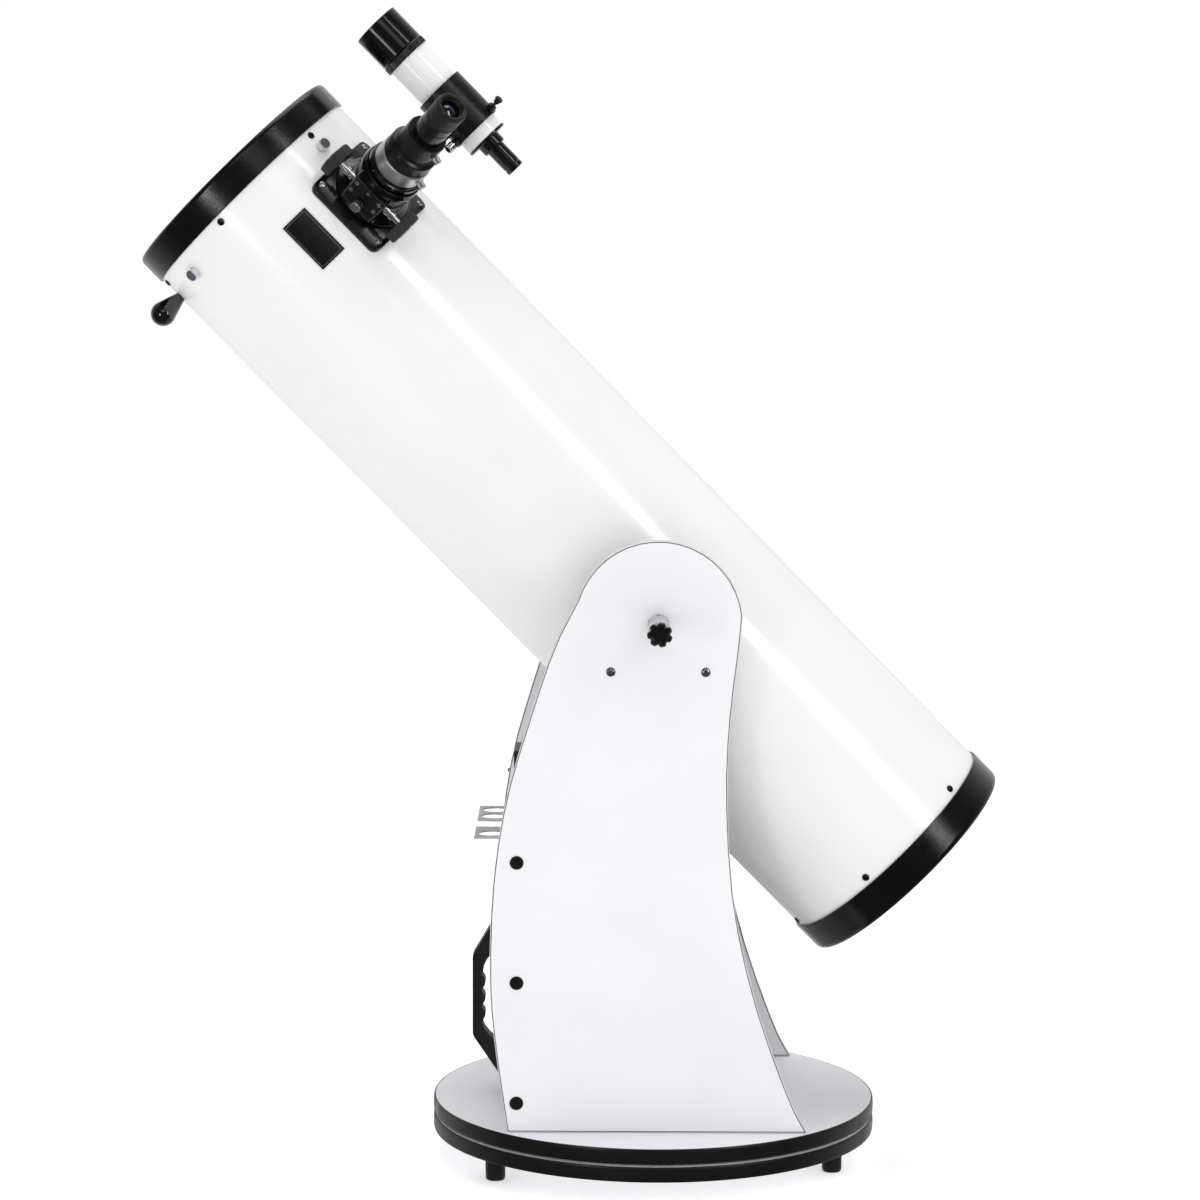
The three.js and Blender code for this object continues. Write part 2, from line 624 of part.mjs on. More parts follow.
function addFinder() {
  const axis = (geometry) => alongX(geometry).translate(0, 0, FINDER_HEIGHT);
  const dovetail = (foot, top, from, to) => polygon(
    [[-foot, from], [foot, from], [top, to], [-top, to]]);
  const shoe = shaped(block([548, -20, 120], [604, 20, 154]), {
    cut: [
      crossPlate(dovetail(14.3, 10.3, 148, 154.2), 540, 80),
      tubeTool(TUBE_CLEAR_RADIUS, 500, 650),
    ],
  });
  addPiece(tube, 'finder_shoe', shoe, FINISH.blackMetal);

  const screwAngles = [60, 180, -60];
  const ringOuter = 30.8;
  const ringInner = FINDER_RADIUS + 2;
  const radial = (geometry, angle) => alongZ(geometry).rotateX((angle - 90) * DEGREE)
    .translate(FINDER_SCREW_S, 0, FINDER_HEIGHT);
  const bracket = shaped(axis(rod(ringOuter, BRACKET_REAR, BRACKET_FRONT, 28)), {
    joined: [
      block([561, -6, 151], [591, 6, FINDER_HEIGHT - 20]),
      crossPlate(dovetail(14, 10, 148.3, 154.5), 556, 40),
      ...screwAngles.map((angle) => radial(rod(5.2, 20, 37, 10), angle)),
    ],
    cut: [
      axis(rod(ringInner, 500, 650, 28)),
      ...screwAngles.map((angle) => radial(rod(2.4, 10, 50, 8), angle)),
    ],
  });
  addPiece(tube, 'finder_bracket', bracket, FINISH.blackPaint);

  const thumbscrew = [
    [0, FINDER_RADIUS + GAP], [2, FINDER_RADIUS + GAP], [2, 43], [4.8, 43.5], [4.8, 50], [0, 50],
  ];
  const plunger = [
    [0, FINDER_RADIUS + GAP], [2, FINDER_RADIUS + GAP], [2, 37.5], [5.5, 37.5], [5.5, 47], [0, 47],
  ];
  const screws = [
    ['finder_screw_near', thumbscrew, FINISH.blackMetal],
    ['finder_screw_far', thumbscrew, FINISH.blackMetal],
    ['finder_spring_plunger', plunger, FINISH.chrome],
  ];
  screws.forEach(([name, profile, material], i) => {
    addPiece(tube, name, radial(turned(profile, 12), screwAngles[i]), material);
  });

  const finderTube = pipe(FINDER_RADIUS - 2, FINDER_RADIUS, 530.8, 669, 28);
  addPiece(tube, 'finder_tube', axis(finderTube), FINISH.tubePaint);
  const lockRing = pipe(FINDER_RADIUS + GAP, 29.2, 659.6, 669, 28);
  addPiece(tube, 'finder_lock_ring', axis(lockRing), FINISH.blackMetal);
  const cell = turned([
    [0, 669.5], [28.7, 669.5], [28.7, 714], [27, 714], [27, 680], [0, 680],
  ], 28);
  addPiece(tube, 'finder_objective', axis(cell), FINISH.blackMetal);
  const eyepiece = turned([
    [0, 484], [8.5, 484], [9, 481], [11, 481], [11, 515], [14.8, 516], [14.8, 527.4],
    [26.5, 527.4], [26.5, 530.5], [0, 530.5],
  ], 24);
  addPiece(tube, 'finder_eyepiece', axis(eyepiece), FINISH.blackMetal);
}

addGroundBase();
addRocker();
addAltitudePads();
addMainTube();
addPrimary();
addSecondary();
addHubs();
addTensionKnobs();
addTrim();
addFocuser();
addFinder();

export default telescope;
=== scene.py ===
"""Dobsonian telescope: the looks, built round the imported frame.

Lengths in the profiles and outlines are in millimetres. A profile is a list of (radius, height) points, and the
height runs along the piece's axis, from the low end of the CAD node that the piece stands for.
"""
import json
import math

import bmesh
import bpy
from mathutils import Matrix, Vector


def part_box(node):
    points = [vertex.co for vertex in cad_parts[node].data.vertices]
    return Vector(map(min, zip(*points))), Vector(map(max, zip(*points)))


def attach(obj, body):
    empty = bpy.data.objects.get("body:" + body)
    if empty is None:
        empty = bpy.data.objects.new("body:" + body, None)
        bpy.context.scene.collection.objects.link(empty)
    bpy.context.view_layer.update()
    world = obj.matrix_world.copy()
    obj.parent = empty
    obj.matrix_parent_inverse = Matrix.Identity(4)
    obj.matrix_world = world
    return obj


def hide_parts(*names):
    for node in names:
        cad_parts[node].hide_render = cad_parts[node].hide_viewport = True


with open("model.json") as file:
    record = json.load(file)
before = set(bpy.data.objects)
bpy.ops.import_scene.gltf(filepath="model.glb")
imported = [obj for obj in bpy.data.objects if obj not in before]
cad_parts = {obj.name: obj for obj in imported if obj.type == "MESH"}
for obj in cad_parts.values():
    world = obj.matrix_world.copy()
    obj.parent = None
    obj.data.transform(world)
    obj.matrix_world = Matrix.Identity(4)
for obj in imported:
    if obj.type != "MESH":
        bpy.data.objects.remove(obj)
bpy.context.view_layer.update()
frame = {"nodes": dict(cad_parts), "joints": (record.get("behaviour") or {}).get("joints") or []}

MM = 0.001
JOINTS = {joint["name"]: joint for joint in frame["joints"]}

# --- Frames ---


def pointing(origin, z, x):
    """The frame at origin whose Z is along z and whose X is towards x."""
    z = Vector(z).normalized()
    x = Vector(x)
    x = (x - z * z.dot(x)).normalized()
    place = Matrix((x, z.cross(x), z)).transposed().to_4x4()
    place.translation = Vector(origin)
    return place


PIVOT = Vector(JOINTS["altitude"]["pos_m"])
FORWARD = -Vector(JOINTS["focus_turn"]["axis"]).normalized()
NEAR = Vector((0, -1, 0))
UPPER = FORWARD.cross(NEAR)
UP = Vector((0, 0, 1))
OUT = Vector(JOINTS["focus_travel"]["axis"]).normalized()
FOCUSER_S = (Vector(JOINTS["focus_turn"]["pos_m"]) - PIVOT).dot(FORWARD)

WORLD = Matrix.Identity(4)
MOUNT = Matrix.Translation(Vector((PIVOT.x, 0, 0)))
TUBE = pointing(PIVOT, FORWARD, NEAR)
FOCUSER = pointing(PIVOT + FORWARD * FOCUSER_S, OUT, FORWARD)


def on_joint(name, x=FORWARD):
    joint = JOINTS[name]
    axis = Vector(joint["axis"])
    hint = Vector(x) if abs(axis.dot(Vector(x))) < 0.9 else NEAR
    return pointing(joint["pos_m"], axis, hint)


FINDER = pointing(JOINTS["finder_focus_turn"]["pos_m"], FORWARD, NEAR)


def station(angle, s):
    """The frame on the tube's axis, s mm forward of the pivot, with its Z out at angle degrees from the near side."""
    turn = math.radians(angle)
    return pointing(PIVOT + FORWARD * s * MM, NEAR * math.cos(turn) + UPPER * math.sin(turn), FORWARD)


def at(place, x=0.0, y=0.0, z=0.0, turn=0.0):
    """The frame moved by x, y and z mm along its own axes, then turned about its Z by turn degrees."""
    return place @ Matrix.Translation(Vector((x, y, z)) * MM) @ Matrix.Rotation(math.radians(turn), 4, "Z")


def span(node, place):
    """Lowest and highest mm along the frame's Z that the CAD node reaches."""
    back = place.inverted()
    heights = [(back @ v.co).z for v in frame["nodes"][node].data.vertices]
    return min(heights) / MM, max(heights) / MM


# --- Materials ---

FINISHES = {}


def add(tree, kind, **values):
    made = tree.nodes.new(kind)
    for name, value in values.items():
        if hasattr(made, name):
            setattr(made, name, value)
        else:
            made.inputs[name.replace("_", " ")].default_value = value
    return made


def ramp(tree, source, start, end, low, high):
    """The source's range from start to end, turned into the range from low to high."""
    made = add(tree, "ShaderNodeMapRange", From_Min=start, From_Max=end, To_Min=low, To_Max=high)
    tree.links.new(source, made.inputs["Value"])
    return made.outputs["Result"]


def finish(name, slot, dark, light, roughness, spread=0.06, metallic=0.0, mottle=25.0, grain=900.0, depth=0.02,
        detail=4.0, stretch=(1, 1, 1), coat=0.0, coat_roughness=0.08, specular=0.5, pits=0.0, pit_scale=600.0,
        speckle=0.0, wear=0.0):
    """A painted, moulded or bare surface. Scales are features per metre, and depths are in mm."""
    material = bpy.data.materials.new(name)
    material.use_nodes = True
    tree = material.node_tree
    shader = tree.nodes["Principled BSDF"]
    shader.inputs["Metallic"].default_value = metallic
    shader.inputs["Specular IOR Level"].default_value = specular
    shader.inputs["Coat Weight"].default_value = coat
    shader.inputs["Coat Roughness"].default_value = coat_roughness
    place = add(tree, "ShaderNodeTexCoord")
    mapping = add(tree, "ShaderNodeMapping")
    mapping.inputs["Scale"].default_value = stretch
    tree.links.new(place.outputs["Object"], mapping.inputs["Vector"])

    def noise(scale, steps, source=mapping.outputs["Vector"]):
        made = add(tree, "ShaderNodeTexNoise", Scale=scale, Detail=steps, Roughness=0.6)
        tree.links.new(source, made.inputs["Vector"])
        return made.outputs["Fac"]

    def between(fac, low, high, start=0.3, end=0.7):
        return ramp(tree, fac, start, end, low, high)

    cloud = noise(mottle, 3.0, place.outputs["Object"])
    colour = add(tree, "ShaderNodeMix", data_type="RGBA")
    tree.links.new(between(cloud, 0, 1), colour.inputs["Factor"])
    colour.inputs[6].default_value = (*dark, 1)
    colour.inputs[7].default_value = (*light, 1)
    shade = colour.outputs[2]
    if speckle:
        fleck = add(tree, "ShaderNodeMix", data_type="RGBA")
        tree.links.new(between(noise(grain * 0.7, 1.0), 0, speckle, 0.62, 0.7), fleck.inputs["Factor"])
        tree.links.new(shade, fleck.inputs[6])
        fleck.inputs[7].default_value = (*[min(1.0, c * 2.5 + 0.04) for c in light], 1)
        shade = fleck.outputs[2]
    # Painted highlight and edge wear: where Pointiness is high, on convex edges and bevels, the colour is lightened
    # towards a brighter grey. This stands in both for rubbed edges and for the shine that edges catch from the lamps.
    if wear:
        edge = add(tree, "ShaderNodeNewGeometry")
        worn_and_lit_edge = add(tree, "ShaderNodeMix", data_type="RGBA")
        tree.links.new(between(edge.outputs["Pointiness"], 0, wear, 0.53, 0.6), worn_and_lit_edge.inputs["Factor"])
        tree.links.new(shade, worn_and_lit_edge.inputs[6])
        worn_and_lit_edge.inputs[7].default_value = (*[min(1.0, c * 2.0 + 0.03) for c in light], 1)
        shade = worn_and_lit_edge.outputs[2]
    tree.links.new(shade, shader.inputs["Base Color"])
    smudge = noise(mottle * 2.3, 4.0, place.outputs["Object"])
    tree.links.new(between(smudge, max(0.02, roughness - spread), roughness + spread), shader.inputs["Roughness"])
    bump = add(tree, "ShaderNodeBump", Strength=1.0, Distance=depth * MM)
    tree.links.new(noise(grain, detail), bump.inputs["Height"])
    last = bump
    if pits:
        cells = add(tree, "ShaderNodeTexVoronoi", feature="SMOOTH_F1", Scale=pit_scale)
        tree.links.new(mapping.outputs["Vector"], cells.inputs["Vector"])
        last = add(tree, "ShaderNodeBump", Strength=1.0, Distance=pits * MM)
        tree.links.new(cells.outputs["Distance"], last.inputs["Height"])
        tree.links.new(bump.outputs["Normal"], last.inputs["Normal"])
    tree.links.new(last.outputs["Normal"], shader.inputs["Normal"])
    FINISHES[name] = (material, slot)
    return shader


def black(*given, **more):
    """A black finish, which mirrors a little less than the usual surface."""
    return finish(*given, specular=0.42, **more)


finish("tube_enamel", "tube_paint", (0.83, 0.83, 0.81), (0.86, 0.86, 0.84), 0.22, 0.03, mottle=6, grain=260,
    depth=0.012, detail=2, coat=0.5, coat_roughness=0.06)
black("tube_inside", "black_plastic", (0.0034, 0.0034, 0.0038), (0.0059, 0.0059, 0.0063), 0.85, 0.05, grain=1400,
    depth=0.05)
finish("white_melamine", "melamine", (0.80, 0.80, 0.825), (0.835, 0.835, 0.855), 0.42, 0.05, mottle=9, grain=1500,
    depth=0.018, detail=3, pits=0.01, pit_scale=420)
finish("edge_band", "melamine", (0.62, 0.62, 0.63), (0.70, 0.70, 0.71), 0.45, 0.05, grain=900, depth=0.02)
# Near-black, for the thin dark line drawn between each panel's face and its edge band.
finish("band_dark_line", "melamine", (0.030, 0.030, 0.032), (0.055, 0.055, 0.058), 0.6, 0.05, grain=1500, depth=0.03)
black("board_edge", "black_plastic", (0.0032, 0.0032, 0.0035), (0.0056, 0.0056, 0.0060), 0.38, 0.08, mottle=14,
    grain=500, depth=0.04, detail=5, stretch=(1, 1, 4), wear=0.3)
black("ring_paint", "black_cast", (0.0023, 0.0023, 0.0025), (0.0037, 0.0037, 0.0039), 0.20, 0.04, mottle=30,
    grain=520, depth=0.05, detail=2, pits=0.05, pit_scale=380, wear=0.15)
black("wrinkle_paint", "black_cast", (0.0023, 0.0023, 0.0025), (0.0042, 0.0042, 0.0044), 0.26, 0.05, mottle=40,
    grain=700, depth=0.16, detail=3, pits=0.16, pit_scale=620, wear=0.2)
black("matt_black", "black_metal", (0.0028, 0.0028, 0.0030), (0.0046, 0.0046, 0.0048), 0.55, 0.06, mottle=50,
    grain=1100, depth=0.03, wear=0.15)
black("gloss_black", "black_metal", (0.0023, 0.0023, 0.0025), (0.0037, 0.0037, 0.0042), 0.16, 0.04, mottle=35,
    grain=900, depth=0.008, coat=0.3, wear=0.15)
black("anodised_black", "black_metal", (0.0037, 0.0037, 0.0042), (0.0060, 0.0060, 0.0067), 0.24, 0.05, mottle=30,
    grain=1200, depth=0.012, stretch=(0.15, 0.15, 5), wear=0.35)
black("moulded_black", "black_plastic", (0.0032, 0.0032, 0.0035), (0.0056, 0.0056, 0.0060), 0.42, 0.07, mottle=22,
    grain=1500, depth=0.03, pits=0.03, pit_scale=1200, wear=0.2)
black("handle_black", "black_plastic", (0.0025, 0.0025, 0.0026), (0.0050, 0.0050, 0.0052), 0.5, 0.08, mottle=30,
    grain=1100, depth=0.12, pits=0.18, pit_scale=700, speckle=0.06)
black("gloss_plastic", "black_plastic", (0.0019, 0.0019, 0.0021), (0.0032, 0.0032, 0.0035), 0.06, 0.02, mottle=20,
    grain=500, depth=0.006, coat=1.0, coat_roughness=0.04)
finish("soft_rubber", "rubber", (0.0064, 0.0064, 0.0068), (0.0120, 0.0120, 0.0128), 0.46, 0.08, mottle=40, grain=1300,
    depth=0.05, pits=0.02, pit_scale=1500)
finish("polished_chrome", "chrome", (0.72, 0.73, 0.75), (0.82, 0.83, 0.85), 0.10, 0.04, metallic=1.0, mottle=60,
    grain=1500, depth=0.004, stretch=(0.1, 0.1, 6))
finish("satin_aluminium", "bright_aluminium", (0.74, 0.75, 0.76), (0.92, 0.93, 0.94), 0.45, 0.06, metallic=1.0,
    mottle=42, grain=1300, depth=0.02, detail=5, stretch=(0.12, 0.12, 7))
finish("plated_steel", "steel", (0.42, 0.42, 0.43), (0.58, 0.58, 0.59), 0.28, 0.07, metallic=1.0, mottle=90,
    grain=1600, depth=0.01)
finish("dark_steel", "steel", (0.10, 0.10, 0.105), (0.20, 0.20, 0.21), 0.32, 0.07, metallic=1.0, mottle=120,
    grain=1600, depth=0.01)
finish("nut_face", "steel", (0.055, 0.065, 0.085), (0.085, 0.095, 0.12), 0.35, 0.06, mottle=160, grain=1600,
    depth=0.01)
finish("knob_grip", "black_plastic", (0.018, 0.017, 0.017), (0.028, 0.027, 0.027), 0.5, 0.08, mottle=60, grain=1300,
    depth=0.03, wear=0.3)
finish("rack_paint", "grey_paint", (0.30, 0.305, 0.30), (0.38, 0.385, 0.38), 0.38, 0.05, mottle=25, grain=700,
    depth=0.05, pits=0.03, pit_scale=900, wear=0.3)
finish("white_nylon", "ptfe", (0.78, 0.78, 0.76), (0.86, 0.86, 0.84), 0.4, 0.06, mottle=40, grain=900, depth=0.02)
finish("ground_glass", "mirror_coat", (0.42, 0.47, 0.45), (0.52, 0.57, 0.55), 0.5, 0.08, mottle=30, grain=1500,
    depth=0.03)
finish("mirror_face", "mirror_coat", (0.86, 0.87, 0.88), (0.90, 0.91, 0.92), 0.035, 0.012, metallic=1.0, mottle=12,
    grain=300, depth=0.0005)
black("label_black", "label", (0.0017, 0.0017, 0.0018), (0.0027, 0.0027, 0.0028), 0.26, 0.05, mottle=60, grain=1200,
    depth=0.01, wear=0.5)
finish("label_line", "label", (0.10, 0.10, 0.10), (0.15, 0.15, 0.15), 0.35, 0.05, mottle=90, grain=1200, depth=0.01)
black("focuser_paint", "black_cast", (0.0021, 0.0021, 0.0023), (0.0035, 0.0035, 0.0037), 0.2, 0.04, mottle=30,
    grain=420, depth=0.035, detail=2, pits=0.02, pit_scale=300, coat=0.3, coat_roughness=0.12, wear=0.12)
finish("dark_knurl", "black_metal", (0.02, 0.02, 0.022), (0.045, 0.045, 0.048), 0.25, 0.05, metallic=0.6, mottle=60,
    grain=900, depth=0.01, wear=0.6)


def lens(name, slot, tint, roughness=0.02):
    """Dark coated glass under a clear coat with a blue tint."""
    shader = finish(name, slot, [c * 0.8 for c in tint], tint, roughness, 0.01, mottle=30, grain=200, depth=0.0005,
        specular=0.9, coat=1.0, coat_roughness=0.02)
    shader.inputs["Coat Tint"].default_value = (0.70, 0.80, 1.0, 1)


lens("coated_lens", "mirror_coat", (0.003, 0.005, 0.010))

# --- Meshes ---


def dress(item, look, body, nodes=()):
    """Gives the piece its material, its smooth shading and its body."""
    material, slot = FINISHES[look]
    mesh = item.data
    if not mesh.materials:
        mesh.materials.append(material)
    mesh.polygons.foreach_set("use_smooth", [True] * len(mesh.polygons))
    mesh.set_sharp_from_angle(angle=math.radians(38))
    fair = item.modifiers.new("fair_normals", "WEIGHTED_NORMAL")
    fair.keep_sharp = True
    if item.name not in bpy.context.scene.collection.objects:
        bpy.context.scene.collection.objects.link(item)
    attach(item, body)
    if nodes:
        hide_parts(*nodes)
    return item


def mesh_of(bm, name="shape"):
    mesh = bpy.data.meshes.new(name)
    bmesh.ops.recalc_face_normals(bm, faces=bm.faces)
    bm.to_mesh(mesh)
    bm.free()
    return mesh


def from_bmesh(name, bm, place):
    item = bpy.data.objects.new(name, mesh_of(bm, name))
    item.matrix_world = place
    bpy.context.scene.collection.objects.link(item)
    return item


def soften(points, radius, closed=True):
    """The 2-D points with each corner turned into a small arc. A third number is that corner's own radius."""
    soft = []
    for i, point in enumerate(points):
        here = Vector(point[:2])
        wanted = point[2] if len(point) > 2 else radius
        back = Vector(points[i - 1][:2]) - here
        on = Vector(points[(i + 1) % len(points)][:2]) - here
        end = not closed and i in (0, len(points) - 1)
        if end or wanted <= 0 or back.length < 1e-6 or on.length < 1e-6:
            soft.append(here)
            continue
        corner = back.angle(on)
        if corner > math.radians(172):
            soft.append(here)
            continue
        reach = min(wanted / math.tan(corner / 2), 0.46 * back.length, 0.46 * on.length)
        start, stop = here + back.normalized() * reach, here + on.normalized() * reach
        steps = 3 if wanted < 1.2 else 6
        for k in range(steps + 1):
            u = k / steps
            soft.append(start * (1 - u) ** 2 + here * (2 * u * (1 - u)) + stop * u * u)
    return soft


def lathe(profile, sides, edge, shape=None):
    """A closed body of revolution about Z, in metres. The profile starts and ends on the axis, or closes."""
    on_axis = profile[0][0] < 1e-4 and profile[-1][0] < 1e-4
    points = soften(profile, edge, closed=not on_axis)
    bm = bmesh.new()
    rows = []
    for radius, height in points:
        if radius < 1e-4:
            rows.append([bm.verts.new((0, 0, height * MM))])
            continue
        row = []
        for k in range(sides):
            turn = 2 * math.pi * k / sides
            reach = shape(turn, radius, height) if shape else radius
            row.append(bm.verts.new((reach * math.cos(turn) * MM, reach * math.sin(turn) * MM, height * MM)))
        rows.append(row)
    pairs = list(zip(rows, rows[1:]))
    if not on_axis:
        pairs.append((rows[-1], rows[0]))
    for low, high in pairs:
        for k in range(sides):
            n = (k + 1) % sides
            ring = [low[k % len(low)], low[n % len(low)], high[n % len(high)], high[k % len(high)]]
            corners = list(dict.fromkeys(ring))
            if len(corners) > 2:
                bm.faces.new(corners)
    return bm


def turned(name, profile, place, look, body, *nodes, sides=96, edge=0.35, shape=None, low=None):
    """A turned piece on the frame's Z."""
    base = low if low is not None else (span(nodes[0], place)[0] if nodes else 0.0)
    lifted = [(p[0], p[1] + base, *p[2:]) for p in profile]
    return dress(from_bmesh(name, lathe(lifted, sides, edge, shape), place), look, body, nodes)


def ribs(count, depth, above):
    """Fine ribs along the axis, on whatever is farther out than a radius."""
    def shape(turn, radius, height):
        return radius if radius < above else radius - depth * (0.5 - 0.5 * math.cos(turn * count)) ** 2
    return shape


def flats(count, across):
    """A hexagon or other regular shape of that size across its flats, cut into a turned piece."""
    def shape(turn, radius, height):
        step = 2 * math.pi / count
        off = (turn + step / 2) % step - step / 2
        return min(radius, across / 2 / math.cos(off))
    return shape


def loops_of(node, place, height, keep=0.02):
    """The outlines of the CAD node's flat face at that height of the frame, as 2-D points in mm, longest first."""
    back = place.inverted()
    mesh = frame["nodes"][node].data
    spots = [back @ v.co / MM for v in mesh.vertices]
    keys = [tuple(round(c, 2) for c in p) for p in spots]
    edges = {}
    for face in mesh.polygons:
        if all(abs(spots[v].z - height) < keep for v in face.vertices):
            ring = [keys[v] for v in face.vertices]
            for a, b in zip(ring, ring[1:] + ring[:1]):
                if (b, a) in edges:
                    del edges[(b, a)]
                else:
                    edges[(a, b)] = True
    after = {}
    for a, b in edges:
        after.setdefault(a, []).append(b)
    loops = []
    while after:
        first = next(iter(after))
        loop = [first]
        while True:
            onward = after[loop[-1]].pop()
            if not after[loop[-1]]:
                del after[loop[-1]]
            if onward == first or onward not in after:
                break
            loop.append(onward)
        loops.append([Vector(p[:2]) for p in loop])
    loops.sort(key=lambda loop: -sum((a - b).length for a, b in zip(loop, loop[1:])))
    return [as_circle(loop) for loop in loops]


def as_circle(loop):
    """A loop that is round comes back with more points."""
    middle = sum(loop, Vector((0, 0))) / len(loop)
    reaches = [(p - middle).length for p in loop]
    if len(loop) < 8 or max(reaches) - min(reaches) > 0.03 * max(reaches):
        return loop
    turns = [2 * math.pi * k / 64 for k in range(64)]
    return [middle + Vector((math.cos(t), math.sin(t))) * max(reaches) for t in turns]


def area_of(loop):
    return 0.5 * sum(a.x * b.y - b.x * a.y for a, b in zip(loop, loop[1:] + loop[:1]))


def inset(loop, distance):
    """The loop moved towards its inside."""
    side = 1 if area_of(loop) > 0 else -1
    moved = []
    for i, here in enumerate(loop):
        a = (here - loop[i - 1]).normalized()
        b = (loop[(i + 1) % len(loop)] - here).normalized()
        across = Vector((-(a.y + b.y), a.x + b.x))
        if across.length < 1e-6:
            across = Vector((-a.y, a.x))
        across.normalize()
        lean = max(0.5, across.dot(Vector((-a.y, a.x))))
        moved.append(here + across * (side * distance / lean))
    return moved


def slab_mesh(name, loops, low, high, edge):
    """A flat piece with rounded rims, between two heights of its frame."""
    curve = bpy.data.curves.new(name, "CURVE")
    curve.dimensions = "2D"
    curve.fill_mode = "BOTH"
    curve.extrude = ((high - low) / 2 - edge) * MM
    curve.bevel_depth = edge * MM
    curve.bevel_resolution = 2
    curve.offset = -edge * MM
    for loop in loops:
        spline = curve.splines.new("POLY")
        spline.points.add(len(loop) - 1)
        for point, p in zip(spline.points, loop):
            point.co = (p[0] * MM, p[1] * MM, 0, 1)
        spline.use_cyclic_u = True
    shaper = bpy.data.objects.new(name, curve)
    mesh = bpy.data.meshes.new_from_object(shaper)
    bpy.data.objects.remove(shaper)
    bpy.data.curves.remove(curve)
    bm = bmesh.new()
    bm.from_mesh(mesh)
    bpy.data.meshes.remove(mesh)
    bmesh.ops.remove_doubles(bm, verts=bm.verts, dist=2e-6)
    bmesh.ops.translate(bm, verts=bm.verts, vec=(0, 0, (low + high) / 2 * MM))
    return bm


def slab(name, loops, low, high, place, look, body, *nodes, edge=0.4, corner=0.0):
    rounded = [soften(loop, corner) if corner else loop for loop in loops]
    return dress(from_bmesh(name, slab_mesh(name, rounded, low, high, edge), place), look, body, nodes)


def rectangle(x0, y0, x1, y1, corner=0.0):
    return soften([(x0, y0), (x1, y0), (x1, y1), (x0, y1)], corner) if corner else [Vector(p) for p in ((x0, y0),
        (x1, y0), (x1, y1), (x0, y1))]


def carve(item, *cutters):
    """Cuts the other objects out of a piece, then removes them."""
    for cutter in cutters:
        cut = item.modifiers.new("cut", "BOOLEAN")
        cut.operation = "DIFFERENCE"
        cut.solver = "EXACT"
        cut.object = cutter
    bpy.context.view_layer.update()
    mesh = bpy.data.meshes.new_from_object(item.evaluated_get(bpy.context.evaluated_depsgraph_get()))
    item.modifiers.clear()
    item.data = mesh
    for cutter in cutters:
        bpy.data.objects.remove(cutter)
    return item


def refined(node, look, body, edge=0.4):
    """A CAD node's own shape with softened edges and smooth rounds."""
    source = frame["nodes"][node].data
    bm = bmesh.new()
    bm.from_mesh(source)
    bmesh.ops.remove_doubles(bm, verts=bm.verts, dist=2e-6)
    bmesh.ops.dissolve_limit(bm, angle_limit=math.radians(0.5), verts=bm.verts, edges=bm.edges)
    sharp = [e for e in bm.edges if len(e.link_faces) == 2 and e.calc_face_angle(0) > math.radians(35)]
    bmesh.ops.bevel(bm, geom=sharp, offset=edge * MM, segments=2, profile=0.5, affect="EDGES", clamp_overlap=True)
    return dress(from_bmesh(node + "_form", bm, WORLD), look, body, (node,))


# --- Fasteners ---

HEADS = {}


def head(kind, radius, height):
    """The mesh of a screw's head on z = 0: a cross recess, a hexagon socket, a hexagon or a plain cap."""
    key = (kind, radius, height)
    if key in HEADS:
        return HEADS[key]
    if kind == "hex":
        profile = [(0, -0.5), (radius, -0.5), (radius, height * 0.82), (radius * 0.86, height), (0, height)]
        bm = lathe(profile, 72, 0.15, flats(6, radius * 1.74))
    elif kind == "cap":
        profile = [(0, -0.5), (radius, -0.5), (radius, height * 0.4), (radius * 0.86, height), (radius * 0.3, height),
            (radius * 0.25, height * 0.55), (0, height * 0.5)]
        bm = lathe(profile, 48, 0.3)
    else:
        profile = [(0, -0.5), (radius, -0.5), (radius, height * 0.35), (radius * 0.72, height * 0.85), (0, height)]
        bm = lathe(profile, 48, 0.5)
    item = from_bmesh("head", bm, WORLD)
    if kind == "cross":
        arm, thick = radius * 0.62, radius * 0.17
        bars = []
        for turn in (0, 90):
            bar = [(-arm, -thick), (arm, -thick), (arm, thick), (-arm, thick)]
            cutter = from_bmesh("cutter", slab_mesh("cutter", [bar], height * 0.25, height + 2, 0.01),
                Matrix.Rotation(math.radians(turn), 4, "Z"))
            bars.append(cutter)
        carve(item, *bars)
    if kind == "socket":
        bars = [from_bmesh("cutter", lathe([(0, height * 0.3), (radius * 0.5, height * 0.3), (radius * 0.5, height
            + 1), (0, height + 1)], 6, 0), WORLD)]
        carve(item, *bars)
    HEADS[key] = item.data
    bpy.data.objects.remove(item)
    return HEADS[key]


def copies(name, mesh, places, look, body):
    """One mesh repeated at several frames, as one piece."""
    bm = bmesh.new()
    for place in places:
        copy = mesh.copy()
        copy.transform(place)
        bm.from_mesh(copy)
        bpy.data.meshes.remove(copy)
    return dress(from_bmesh(name, bm, WORLD), look, body)


def fasteners(name, kind, radius, height, places, look, body):
    """Several equal screws on one body, as one piece, each turned a little farther than the last."""
    turned_places = [place @ Matrix.Rotation(0.7 * k, 4, "Z") for k, place in enumerate(places)]
    return copies(name, head(kind, radius, height), turned_places, look, body)


def thread(radius, low, high, pitch=1.5, depth=0.45):
    """The profile of a screw thread, from low to high."""
    points = []
    for k in range(int((high - low) / pitch)):
        points += [(radius, low + k * pitch, 0), (radius - depth, low + (k + 0.5) * pitch, 0)]
    return points


def station_of(node):
    """The angle and the distance along the tube of a piece that stands on the tube."""
    spots = [v.co - PIVOT for v in frame["nodes"][node].data.vertices]
    middle = sum(spots, Vector()) / len(spots)
    angle = math.degrees(math.atan2(middle.dot(UPPER), middle.dot(NEAR)))
    return angle, middle.dot(FORWARD) / MM


